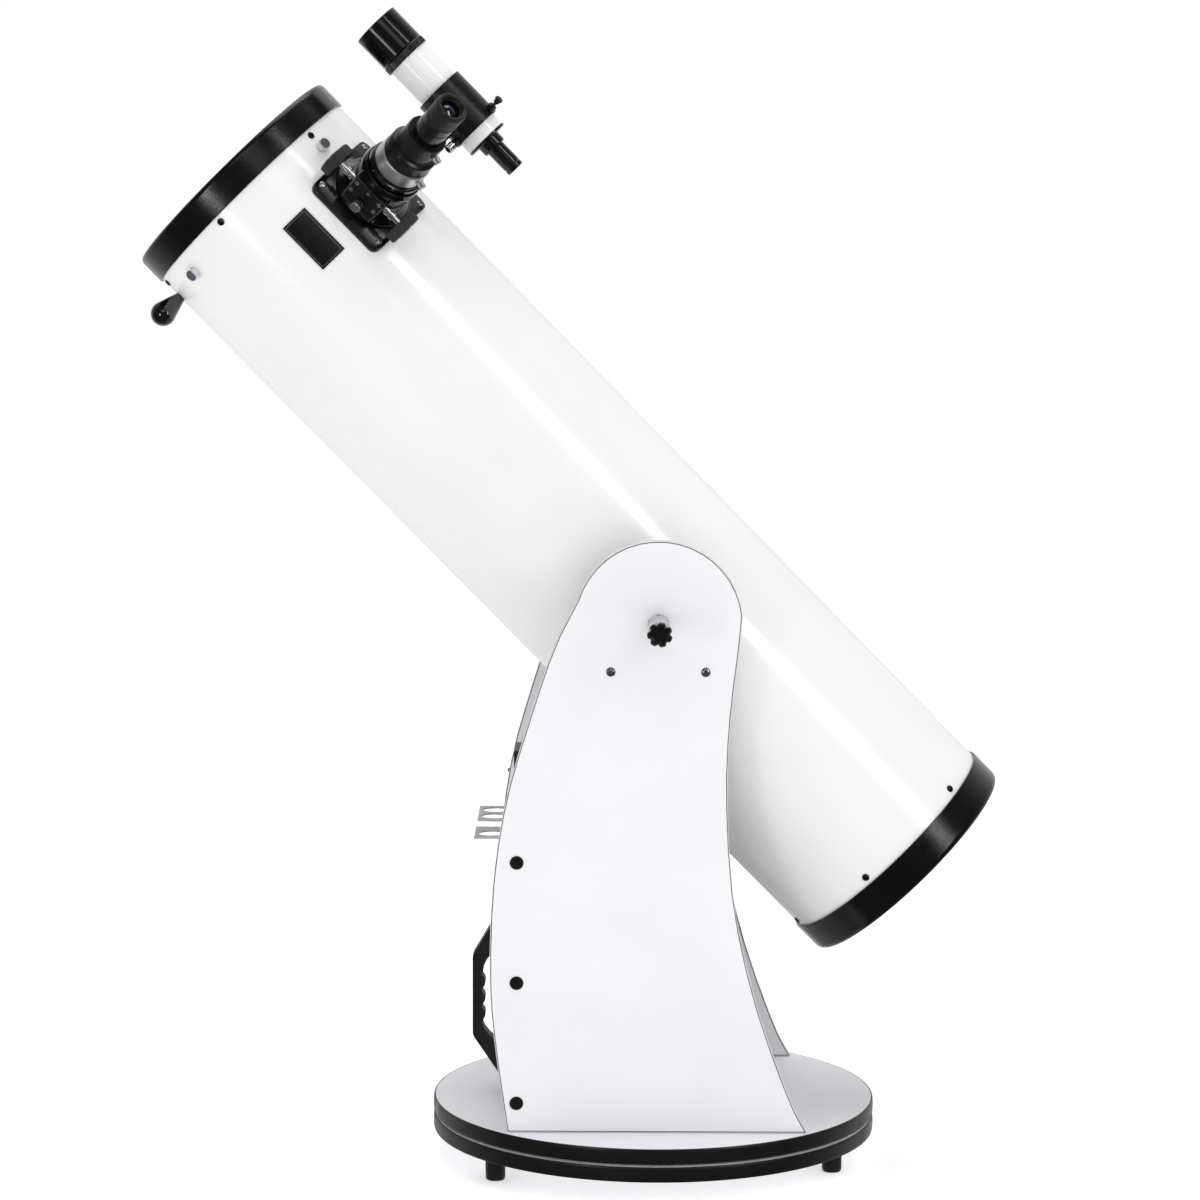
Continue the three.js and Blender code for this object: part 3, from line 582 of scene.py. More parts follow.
def paint_faces(item, look, chosen):
    """Gives the faces that chosen(face) picks a second material."""
    item.data.materials.append(FINISHES[look][0])
    second = len(item.data.materials) - 1
    for face in item.data.polygons:
        if chosen(face):
            face.material_index = second


def slots_for(item, *looks):
    for look in looks:
        item.data.materials.append(FINISHES[look][0])


# --- Base ---

SIDE = pointing((0, 0, 0), NEAR, (1, 0, 0))
FRONT = pointing((0, 0, 0), (-1, 0, 0), NEAR)


def board(node, body):
    """A round melamine board in a moulded black edge strip."""
    low, high = span(node, MOUNT)
    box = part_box(node)
    radius, thick = (box[1].x - box[0].x) / 2 / MM, high - low
    inner = radius - 2.4
    turned(node + "_face", [(0, 0), (inner, 0), (inner, thick), (0, thick)], MOUNT, "white_melamine", body, node,
        sides=180, edge=0.3)
    turned(node + "_strip", [(inner + 0.1, 0.2), (radius - 0.9, 0.1, 0.8), (radius - 0.2, 2.5, 3), (radius, thick / 2,
        6), (radius - 0.2, thick - 2.5, 3), (radius - 0.9, thick - 0.1, 0.8), (inner + 0.1, thick - 0.2)], MOUNT,
        "board_edge", body, sides=180, edge=0.2, low=low)


board("ground_board", "ground")
board("azimuth_board", "rocker")
for node in ("foot_front", "foot_rear", "foot_far"):
    low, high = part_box(node)
    tall = (high.z - low.z) / MM
    foot = pointing(((low.x + high.x) / 2, (low.y + high.y) / 2, 0), UP, (1, 0, 0))
    turned(node + "_rubber", [(0, 2), (4.5, 2), (4.5, 0), (10.4, 0, 1.2), (11.5, 3, 2), (12, tall - 2), (12, tall),
        (0, tall)], foot, "soft_rubber", "ground", node, sides=64)
    fasteners(node + "_screw", "cross", 4.0, 1.4, [at(foot, z=2, turn=0) @ Matrix.Rotation(math.pi, 4, "X")],
        "plated_steel", "ground")

low, high = span("azimuth_bearing", MOUNT)
turned("azimuth_bearing_ring", [(180, 0), (215, 0), (215, high - low), (180, high - low)], MOUNT, "white_nylon",
    "ground", "azimuth_bearing", sides=128, edge=0.3)
turned("azimuth_bolt_form", [(0, 0), (8.6, 0), (10, 0.9), (10, 7), (5, 7, 0), (5, 38, 0), *thread(5, 38, 61.5),
    (4.4, 62.1, 0), (0, 62.1)], MOUNT, "plated_steel", "ground", "azimuth_bolt", sides=72, edge=0.2, shape=flats(6,
    17.3))
low = span("azimuth_lock_nut", MOUNT)[0]
turned("azimuth_washer", [(5.4, 0), (15, 0), (15, 2), (5.4, 2)], MOUNT, "plated_steel", "ground", low=low)
turned("azimuth_nut", [(5.4, 0), (9, 0), (10, 0.8), (10, 7), (9, 7.7), (5.4, 7.7)], MOUNT, "plated_steel", "ground",
    "azimuth_lock_nut", sides=72, edge=0.2, shape=flats(6, 17.3), low=low + 2)

# --- Rocker box ---

BAND = 0.9
DARK_LINE_WIDTH = 0.8
CAP_HEIGHTS = (105, 245.5, 385)
FAR_SCREW_HEIGHT = 430
HANDLE_SLOPE = Vector((-0.859, 0, 0.511))


def side_panel(node, outer):
    """A melamine panel with its edge band, three black screw caps and the pads' screws."""
    low, high = span(node, SIDE)
    loops = loops_of(node, SIDE, high)
    face = outer * NEAR
    slab(node + "_board", [inset(loops[0], BAND + DARK_LINE_WIDTH), *loops[1:]], low, high, SIDE, "white_melamine", "rocker",
        node, edge=0.2)
    # A near-black strip 0.8 mm wide between the board's face and its edge band, and a band greyer than the face:
    # together these draw the thin dark line along the panel's outline.
    slab(node + "_dark_line", [inset(loops[0], BAND - 0.1), inset(loops[0], BAND + DARK_LINE_WIDTH + 0.1)], low + 0.15, high - 0.15,
        SIDE, "band_dark_line", "rocker", edge=0.1)
    slab(node + "_band", [loops[0], inset(loops[0], BAND - 0.1)], low + 0.1, high - 0.1, SIDE, "edge_band", "rocker",
        edge=0.25)
    outside = max(abs(low), abs(high)) * MM
    board_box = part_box("front_board")
    middle = (board_box[0].x + board_box[1].x) / 2
    caps = [pointing((middle, face.y * outside, z * MM), face, UP) for z in CAP_HEIGHTS]
    fasteners(node + "_caps", "cap", 7.9, 1.5, caps, "moulded_black", "rocker")
    name = node.replace("side_panel", "altitude_pad")
    pads = [(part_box(name + end)[0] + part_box(name + end)[1]) / 2 for end in ("_front", "_rear")]
    fasteners(node + "_pad_screws", "cross", 5.3, 1.3, [pointing((p.x, face.y * outside, p.z), face, UP)
        for p in pads], "dark_steel", "rocker")
    fasteners(node + "_pad_screw_heads", "cross", 3.9, 0.9, [pointing((p.x, face.y * (outside + 1.0 * MM), p.z), face,
        UP) for p in pads], "plated_steel", "rocker")
    for end, p in zip(("_front", "_rear"), pads):
        place = pointing((p.x, 0, p.z), NEAR, UP)
        low_end, high_end = span(name + end, place)
        tall = high_end - low_end
        turned(name + end + "_roller", [(0, 0), (12.5, 0, 1), (12.5, tall * 0.3), (11.8, tall * 0.38),
            (11.8, tall * 0.62), (12.5, tall * 0.7), (12.5, tall, 1), (0, tall)], place, "white_nylon", "rocker", name
            + end)


side_panel("side_panel_near", 1)
side_panel("side_panel_far", -1)

low, high = span("front_board", FRONT)
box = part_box("front_board")
board_face = rectangle(-box[1].y / MM, box[0].z / MM, -box[0].y / MM, box[1].z / MM - BAND)
slab("front_board_panel", [board_face], low, high, FRONT, "white_melamine", "rocker", "front_board", edge=0.3)
board_top = rectangle(-box[1].y / MM, box[1].z / MM - BAND + 0.1, -box[0].y / MM, box[1].z / MM)
slab("front_board_band", [board_top], low + 0.1, high - 0.1, FRONT, "edge_band", "rocker", edge=0.25)

low, high = span("tube_bumper", FRONT)
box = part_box("tube_bumper")
slab("tube_bumper_pad", [rectangle(-box[1].y / MM, box[0].z / MM, -box[0].y / MM, box[1].z / MM)], low, high, FRONT,
    "soft_rubber", "rocker", "tube_bumper", edge=2.0, corner=4)

low, high = span("carry_handle", SIDE)
slab("carry_handle_grip", loops_of("carry_handle", SIDE, high), low, high, SIDE, "handle_black", "rocker",
    "carry_handle", edge=3.0, corner=1.6)
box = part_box("carry_handle")
for end, lean in ((box[1].z - 0.014, 1), (box[0].z + 0.014, -1)):
    out = Vector((HANDLE_SLOPE.x, 0, HANDLE_SLOPE.z * lean))
    seat = Vector((box[1].x - 0.0163, 0, end))
    fasteners("handle_screw_upper" if lean > 0 else "handle_screw_lower", "cross", 4.6, 1.4,
        [pointing(seat, out, NEAR)], "dark_steel", "rocker")

low, high = span("eyepiece_rack", WORLD)
rack = loops_of("eyepiece_rack", WORLD, high)
slab("eyepiece_rack_shelf", rack, high - 2, high, WORLD, "rack_paint", "rocker", "eyepiece_rack", edge=0.5)
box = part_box("eyepiece_rack")
flange_out = -box[1].x / MM
slab("eyepiece_rack_flange", [rectangle(-box[1].y / MM, low, -box[0].y / MM, high - 2.1, 2)], flange_out, flange_out
    + 2, FRONT, "rack_paint", "rocker", edge=0.4)
fasteners("eyepiece_rack_screws", "cross", 4.2, 1.6, [at(FRONT, -y, low + 9, flange_out + 2) for y in (-88, 0, 86)],
    "dark_steel", "rocker")

outline = loops_of("side_panel_far", SIDE, span("side_panel_far", SIDE)[0])[0]
sides = [(a, b) for a, b in zip(outline, outline[1:] + outline[:1]) if min(a.y, b.y) <= FAR_SCREW_HEIGHT < max(a.y,
    b.y)]
edge_x = min(a.x + (b.x - a.x) * (FAR_SCREW_HEIGHT - a.y) / (b.y - a.y) for a, b in sides)
far_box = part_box("side_panel_far")
fasteners("far_panel_screw", "cross", 2.6, 2.2, [pointing((edge_x * MM, far_box[1].y - 4.2 * MM,
    FAR_SCREW_HEIGHT * MM), (-1, 0, 0.24), UP)], "dark_steel", "rocker")

# --- Tube ---


SKIN = 144
BORE = 142.8


def from_axis(point):
    """Distance from the tube's axis in mm of a point in the tube's frame."""
    return math.hypot(point.x, point.y) / MM


def main_tube():
    low, high = span("main_tube", TUBE)
    wall = [(BORE, low), (SKIN, low), (SKIN, high), (BORE, high)]
    tube = from_bmesh("main_tube_wall", lathe(wall, 192, 0.2), TUBE)
    bore = from_bmesh("bore", lathe([(0, 100), (32, 100), (32, 170), (0, 170)], 96, 0), FOCUSER)
    carve(tube, bore)
    slots_for(tube, "tube_enamel")
    paint_faces(tube, "tube_inside", lambda face: from_axis(face.center) < SKIN - 0.5)
    dress(tube, "tube_enamel", "tube", ("main_tube",))


main_tube()
turned("front_ring_casting", [(144.3, 0), (147, 0, 0.8), (147, 34.5, 8), (133, 34.5, 1.5), (133, 23.9),
    (144.3, 23.9)], TUBE, "ring_paint", "tube", "front_ring", sides=192)
turned("rear_ring_casting", [(128, 0, 1.5), (147, 0, 8), (147, 39.3, 0.8), (144.3, 39.3), (144.3, 28.5), (128, 28.5)],
    TUBE, "ring_paint", "tube", "rear_ring", sides=192)
RING_SCREWS = [45 - 60 * k for k in range(6)]
front_seat = span("front_ring", TUBE)[0] - 7.4
rear_seat = span("rear_ring", TUBE)[1] + 8.5
for end, seat in (("front", front_seat), ("rear", rear_seat)):
    fasteners(end + "_ring_screws", "cross", 4.3, 2.2, [at(station(angle, seat), z=SKIN) for angle in RING_SCREWS],
        "gloss_plastic", "tube")

low, high = span("spider", TUBE)
spider_s = (low + high) / 2
nut = mesh_of(lathe([(0, 0), (6.9, 0, 0.3), (6.9, 8.2, 0.7), (6.2, 8.9, 0.4), (6.0, 8.3), (0, 8.3)], 64, 0.3))
nut_face = mesh_of(lathe([(0, 8.3), (5.9, 8.3), (5.9, 8.8), (0, 9.1)], 48, 0.2))
seats = [at(station(angle, spider_s), z=SKIN) for angle in (45, 135, 225, 315)]
copies("spider_nuts", nut, seats, "satin_aluminium", "tube")
copies("spider_nut_faces", nut_face, seats, "nut_face", "tube")
refined("spider", "matt_black", "tube", edge=0.25)
fasteners("secondary_adjusters", "socket", 2.8, 2.4, [at(TUBE, 10.5 * math.cos(a), 10.5 * math.sin(a), high)
    for a in (0.4, 2.494, 4.589)], "plated_steel", "tube")
fasteners("secondary_bolt", "cross", 4.2, 2.2, [at(TUBE, z=high)], "plated_steel", "tube")


def optics():
    sag = [(127 * math.cos(k * math.pi / 24), 34 - 127 ** 2 * math.sin(k * math.pi / 24) ** 2 / 4800)
        for k in range(12)]
    profile = [(0, 0), (127, 0, 0.8), (127, 34, 0.5), *[(r, h, 0) for r, h in sag[1:]], (0, 34 - 127 ** 2 / 4800)]
    base = span("primary_mirror", TUBE)[0]
    primary = from_bmesh("primary_mirror_glass", lathe([(p[0], p[1] + base, *p[2:]) for p in profile], 160, 0.4),
        TUBE)
    slots_for(primary, "ground_glass")
    paint_faces(primary, "mirror_face", lambda face: face.normal.z > 0.95 and face.center.z / MM > base + 20)
    dress(primary, "ground_glass", "tube", ("primary_mirror",))
    turned("primary_centre_mark", [(3.2, 30.75), (5.6, 30.75), (5.6, 30.9), (3.2, 30.9)], TUBE, "matt_black", "tube",
        edge=0.02, low=base)
    clip = mesh_of(slab_mesh("clip", [rectangle(-7, -9, 7, 6, 2.5)], 0, 2.6, 0.6))
    copies("mirror_clips", clip, [at(TUBE, 121 * math.cos(a), 121 * math.sin(a), base + 34.3, math.degrees(a) - 90)
        for a in (1.047, 3.1416, 5.236)], "moulded_black", "tube")
    secondary = refined("secondary_mirror", "matt_black", "tube", edge=0.3)
    towards = (OUT - FORWARD).normalized()
    paint_faces(secondary, "mirror_face", lambda face: face.normal.dot(towards) > 0.98)
    refined("secondary_holder", "moulded_black", "tube", edge=0.5)


optics()
refined("mirror_cell", "wrinkle_paint", "tube", edge=0.6)
refined("cell_frame", "wrinkle_paint", "tube", edge=0.6)


def coil(radius, wire, low, high, turns):
    """A compression spring's mesh."""
    bm = bmesh.new()
    steps, around = int(turns * 20), 8
    rows = []
    for k in range(steps + 1):
        turn = 2 * math.pi * turns * k / steps
        height = low + wire + (high - low - 2 * wire) * k / steps
        row = []
        for m in range(around):
            lean = 2 * math.pi * m / around
            reach = radius + wire * math.cos(lean)
            row.append(bm.verts.new((reach * math.cos(turn) * MM, reach * math.sin(turn) * MM,
                (height + wire * math.sin(lean)) * MM)))
        rows.append(row)
    for a, b in zip(rows, rows[1:]):
        for m in range(around):
            bm.faces.new((a[m], a[(m + 1) % around], b[(m + 1) % around], b[m]))
    bm.faces.new(rows[0])
    bm.faces.new(rows[-1])
    return mesh_of(bm)


def rear_cell():
    frame_low, frame_high = span("cell_frame", TUBE)
    cell_low = span("mirror_cell", TUBE)[0]
    places = []
    for k in (1, 2, 3):
        place = on_joint(f"collimation_{k}_turn")
        turned(f"collimation_knob_{k}_grip", [(0, 0), (3, 0), (3, 17), (8.6, 17.2, 0.3), (9, 17.8), (9, 25.5, 0.9),
            (7.6, 27.7, 0.8), (6.5, 26.9), (0, 26.9)], place, "polished_chrome", f"collimation_{k}",
            f"collimation_knob_{k}", sides=144, edge=0.3, shape=ribs(24, 0.7, 8.0))
        seat = TUBE.inverted() @ place.translation / MM
        places.append((seat.x, seat.y))
    spring = coil(5.4, 0.7, frame_high + 0.1, cell_low - 0.1, 4)
    copies("collimation_springs", spring, [at(TUBE, x, y) for x, y in places], "plated_steel", "tube")
    locks = [pointing(TUBE @ Vector((x * 0.68 * MM, y * 0.68 * MM, frame_low * MM)), -FORWARD, NEAR) for x,
        y in places]
    fasteners("collimation_locks", "socket", 4.6, 6.0, locks, "dark_steel", "tube")


rear_cell()


def altitude(side):
    """The hub on the tube, and the tension knob that draws it against the panel."""
    refined(f"altitude_hub_{side}", "moulded_black", "tube", edge=0.8)
    body = f"tension_{side}"
    place = on_joint(f"tension_{side}_turn", UP)
    turned(f"tension_sleeve_{side}_turned", [(5.4, 0), (12.5, 0, 0.7), (12.5, 76, 0.7), (5.4, 76)], place,
        "plated_steel", body, f"tension_sleeve_{side}")
    low = span(f"tension_sleeve_{side}", place)[0]
    holes = [at(place, z=low + 7, turn=turn) @ Matrix.Rotation(math.radians(90), 4, "Y") for turn in (0, 62)]
    fasteners(f"tension_sleeve_{side}_grubs", "socket", 2.6, 0.3, [at(h, z=12.4) for h in holes], "matt_black", body)

    def lobes(turn, radius, height):
        notch = (0.5 + 0.5 * math.cos(7 * turn - 1.9)) ** 3
        return radius + (1.3 - 2.7 * notch) * min(1.0, (radius - 8) / 3) if radius > 8 else radius

    turned(f"tension_knob_{side}_grip", [(0, 0), (5, 0), (5, 110.9), (12, 110.9, 0.8), (13, 113, 1.5),
        (13, 121.6, 2.0), (11.0, 123.8, 1), (9.8, 123.6, 0.6), (8.6, 121.4, 0.8), (0, 121.0)], place, "gloss_plastic",
        body, f"tension_knob_{side}", sides=168, shape=lobes)


altitude("near")
altitude("far")

angle, s = station_of("pointing_knob")
ball = [(14.5 * math.cos(math.radians(a)), 28.7 + 14.5 * math.sin(math.radians(a)), 0) for a in range(-20, 86, 7)]
turned("pointing_knob_ball", [(0, 0), (6.4, 0), (6.4, 1.4, 0.3), *ball, (0, 43.2)], station(angle, s),
    "gloss_plastic", "tube", "pointing_knob", low=144.3, sides=72)

refined("label_plate", "label_black", "tube", edge=0.35)
low, high = span("label_plate", TUBE)
angle, s = station_of("label_plate")


def line_frame(half_x, half_y, width):
    """A fine border that follows the tube's skin, drawn about the station's centre."""
    def path(x, y):
        points = []
        for (x0, y0), (x1, y1) in (((-x, -y), (x, -y)), ((x, -y), (x, y)), ((x, y), (-x, y)), ((-x, y), (-x, -y))):
            steps = max(2, int(max(abs(x1 - x0), abs(y1 - y0)) / 2))
            points += [Vector((x0 + (x1 - x0) * k / steps, y0 + (y1 - y0) * k / steps)) for k in range(steps)]
        return points
    bm = slab_mesh("line", [path(half_x, half_y), path(half_x - width, half_y - width)], 0, 0.12, 0.03)
    for v in bm.verts:
        turn = v.co.y / (SKIN * MM)
        reach = 145.47 * MM + v.co.z
        v.co = Vector((v.co.x, reach * math.sin(turn), reach * math.cos(turn)))
    return bm


dress(from_bmesh("label_border", line_frame((high - low) / 2 - 2.2, 14.8, 0.5), station(angle, s)), "label_line",
    "tube")

# --- Focuser ---


def saddle(half_x, half_y, corner, bore, low_radius, high_radius):
    """A plate that follows the tube: a rounded rectangle with a round hole in it, between two radii."""
    outline, count = [], 160
    for k in range(count):
        turn = 2 * math.pi * k / count
        way = Vector((math.cos(turn), math.sin(turn)))
        reach = min(half_x / max(1e-6, abs(way.x)), half_y / max(1e-6, abs(way.y)))
        for _ in range(30):
            over = Vector((abs(way.x) * reach - half_x + corner, abs(way.y) * reach - half_y + corner))
            if over.x <= 0 or over.y <= 0 or over.length <= corner:
                break
            reach -= (over.length - corner) * 0.8
        outline.append((way, reach))
    rows = [(0, 0, low_radius), (0, 0, high_radius - 0.5), (0, 0.5, high_radius)]
    rows += [(k / 8, 0, high_radius) for k in range(1, 8)]
    rows += [(1, -1.6, high_radius), (1, -0.5, high_radius - 0.35), (1, 0, high_radius - 1.5), (1, 0, low_radius)]
    rows += [(k / 8, 0, low_radius) for k in range(7, 0, -1)]
    bm = bmesh.new()
    loops = []
    for part, shift, radius in rows:
        loop = []
        for way, reach in outline:
            spot = way * (bore + (reach - bore) * part + shift)
            loop.append(bm.verts.new((spot.x * MM, spot.y * MM, math.sqrt(radius ** 2 - spot.y ** 2) * MM)))
        loops.append(loop)
    for low, high in zip(loops, loops[1:] + loops[:1]):
        for k in range(count):
            n = (k + 1) % count
            bm.faces.new((low[k], low[n], high[n], high[k]))
    return bm


def focuser():
    plate = from_bmesh("focuser_saddle", saddle(52.5, 56, 9, 30.3, 144.3, 149.5), FOCUSER)
    dress(plate, "focuser_paint", "tube", ("focuser_body",))
    skirt = [(30.3, 146), (45.5, 146), (47.4, 149.7, 1), (46.6, 151.2, 1), (42.5, 153.5, 3), (38.2, 158.5, 3),
        (35.6, 163, 2), (34.5, 168, 2), (34.5, 184), (36.8, 186), (37, 189.5), (35.5, 196, 1.2), (30.3, 196)]
    turned("focuser_body_casting", skirt, FOCUSER, "focuser_paint", "tube", low=0, sides=128, edge=0.4)
    arc = [(-33 * math.sin(k * 0.1), 33 * math.cos(k * 0.1), 0) for k in range(-8, 9)]
    bm = slab_mesh("block", [soften([(24, 24), (24, 45, 4), (-24, 45, 4), (-24, 24), *arc[::-1]], 0.5)], 152, 190,
        1.0)
    item = from_bmesh("focuser_pressure_block", bm, FOCUSER)
    carve(item, from_bmesh("bore", lathe([(0, -60), (4.2, -60), (4.2, 60), (0, 60)], 48, 0), at(FOCUSER, 0, 34,
        176) @ pointing((0, 0, 0), (1, 0, 0), (0, 1, 0))))
    dress(item, "focuser_paint", "tube")
    front = FOCUSER @ pointing((0, 45 * MM, 0), (0, 1, 0), (1, 0, 0))
    fasteners("focuser_block_screws", "socket", 2.7, 1.6, [at(front, x, y) for x in (-17.5, 17.5) for y in (-184.5,
        -171)], "plated_steel", "tube")
    fasteners("focuser_grub_screw", "socket", 1.9, 0.6, [at(front, 0, -184)], "plated_steel", "tube")
    corners = []
    for x in (-45, 45):
        for y in (-45, 45):
            turn = y / 147
            corners.append(FOCUSER @ pointing((x * MM, 149.3 * math.sin(turn) * MM, 149.3 * math.cos(turn) * MM),
                (0, math.sin(turn), math.cos(turn)), (1, 0, 0)))
    fasteners("focuser_base_screws", "cross", 3.9, 1.6, corners, "plated_steel", "tube")

    place = on_joint("focus_lock_turn")
    turned("focus_lock_screw_knob", [(0, 0), (2.5, 0), (2.5, 8.6), (5.8, 8.8, 0.4), (6.5, 9.8), (6.5, 17.2, 0.8),
        (5.2, 19, 0.8), (0, 19)], place, "plated_steel", "focus_lock", "focus_lock_screw", sides=120, edge=0.25,
        shape=ribs(30, 0.5, 5.9))

    place = on_joint("focus_turn", NEAR)
    turned("focus_shaft_turned", [(0, 0), (3.2, 0), (3.2, 20), (5.2, 20.2), (5.2, 25), (4.3, 25.5), (4.3, 27.5),
        (5.2, 28), (5.2, 32.3), (3.2, 32.5), (3.2, 83.5), (5.2, 83.7), (5.2, 88), (4.3, 88.5), (4.3, 90.5), (5.2, 91),
        (5.2, 95.8), (3.2, 96), (3.2, 116), (0, 116)], place, "polished_chrome", "focus_shaft", "focus_shaft",
        sides=64, edge=0.25)
    knob = [(3.5, 0), (8.5, 0, 0.5), (9.5, 1.6), (15.5, 1.6), (16.5, 0.2, 0.5), (19.4, 0.2, 0.5), (20.5, 1.4),
        (20.5, 10.8), (19.4, 12, 0.5), (17.2, 12.9, 0.8), (16, 12.4, 0.5), (12, 12.2), (3.3, 12.2)]

    def grip(turn, radius, height):
        if radius < 19.6:
            return radius
        fine = 0.7 * (0.5 - 0.5 * math.cos(turn * 60)) ** 2
        broad = 0.9 * max(0.0, math.cos(turn * 6)) ** 8
        return radius - fine - broad

    for end, turn in (("rear", 0.0), ("front", 180.0)):
        side = place @ Matrix.Rotation(math.radians(turn), 4, "X")
        turned(f"focus_knob_{end}_grip", knob, side, "knob_grip", "focus_shaft", f"focus_knob_{end}", sides=240,
            edge=0.3, shape=grip)
        base = span(f"focus_knob_{end}", side)[0]
        turned(f"focus_knob_{end}_rim", [(14.2, 12.2), (16.2, 12.25), (16.4, 13.3, 0.5), (15.4, 13.7, 0.4),
            (14.2, 13.2)], side, "polished_chrome", "focus_shaft", sides=96, edge=0.2, low=base)
        turned(f"focus_knob_{end}_centre", [(0, 12.2), (5.6, 12.2), (5.6, 12.9, 0.4), (0, 13.3)], side,
            "polished_chrome", "focus_shaft", sides=64, edge=0.2, low=base)


focuser()


def drawtube():
    turned("drawtube_turned", [(25.8, 112), (30, 112), (30, 199), (33.6, 199, 0.4), (34, 199.8), (34, 204.4, 0.5),
        (32.4, 205), (32, 207.7, 0.4), (25.8, 207.7)], FOCUSER, "gloss_black", "drawtube", "drawtube", sides=128,
        low=0, edge=0.3)
    turned("eyepiece_clamp_turned", [(25.9, 208), (30.7, 208, 0.4), (31, 208.6), (31, 225.8), (30.2, 227, 0.5),
        (25.9, 227)], FOCUSER, "satin_aluminium", "drawtube", "eyepiece_clamp", sides=128, low=0, edge=0.3)
    turned("eyepiece_adapter_turned", [(16, 206.2), (25.4, 206.2), (25.4, 227.5), (29.5, 227.5, 0.4), (29.5, 228.8),
        (28.9, 229.3), (28.9, 230.3), (29.5, 230.8), (29.5, 243, 0.9), (28.6, 244.2, 0.6), (24.8, 246, 0.8),
        (24.3, 247.5), (24.3, 272.8), (23.3, 274, 0.6), (16, 274)], FOCUSER, "anodised_black", "drawtube",
        "eyepiece_adapter", sides=128, low=0, edge=0.3)
    for name, stem in (("clamp_screw", 6.3), ("adapter_screw", 9.0)):
        knob = [(0, 0), (2, 0), (2, stem), (4.2, stem + 0.1, 0.3), (4.6, stem + 0.7), (4.6, stem + 7, 0.6),
            (3.6, stem + 8, 0.5), (0, stem + 8)]
        turned(name + "_knob", knob, on_joint(name + "_turn"), "polished_chrome", name, name, sides=96, edge=0.2,
            shape=ribs(24, 0.4, 4.3))


drawtube()


def eyepiece():
    turned("eyepiece_barrel", [(10.5, 240.2), (15.7, 240.2), (15.7, 273.9), (15.7, 274.3), (17.8, 274.5, 0.4),
        (18.1, 275.5), (18.2, 293), (17.6, 293.6), (17.6, 294.8), (18.2, 295.4), (18.3, 304), (10.5, 304)], FOCUSER,
        "gloss_black", "eyepiece", "eyepiece", sides=96, low=0, edge=0.3)
    turned("eyepiece_cup", [(11.5, 304.2), (18.4, 304.2), (18.6, 306), (18.1, 307.2, 0.6), (18.1, 308.6, 0.6),
        (18.7, 309.8), (18.8, 327, 2), (17.6, 330.8, 1.2), (15, 330.9, 1), (13.4, 329.4, 1), (12.6, 327.2, 0.8),
        (11.5, 326)], FOCUSER, "soft_rubber", "eyepiece", sides=96, low=0, edge=0.4)
    eye = [(12.4 * math.sin(a), 318.6 + 7.2 * math.cos(a), 0) for a in [1.5, 1.2, 0.9, 0.6, 0.3]]
    turned("eyepiece_lens", [(0, 318), (12.4, 318), *eye, (0, 325.8)], FOCUSER, "coated_lens", "eyepiece", sides=72,
        low=0, edge=0.1)


eyepiece()

# --- Finder ---


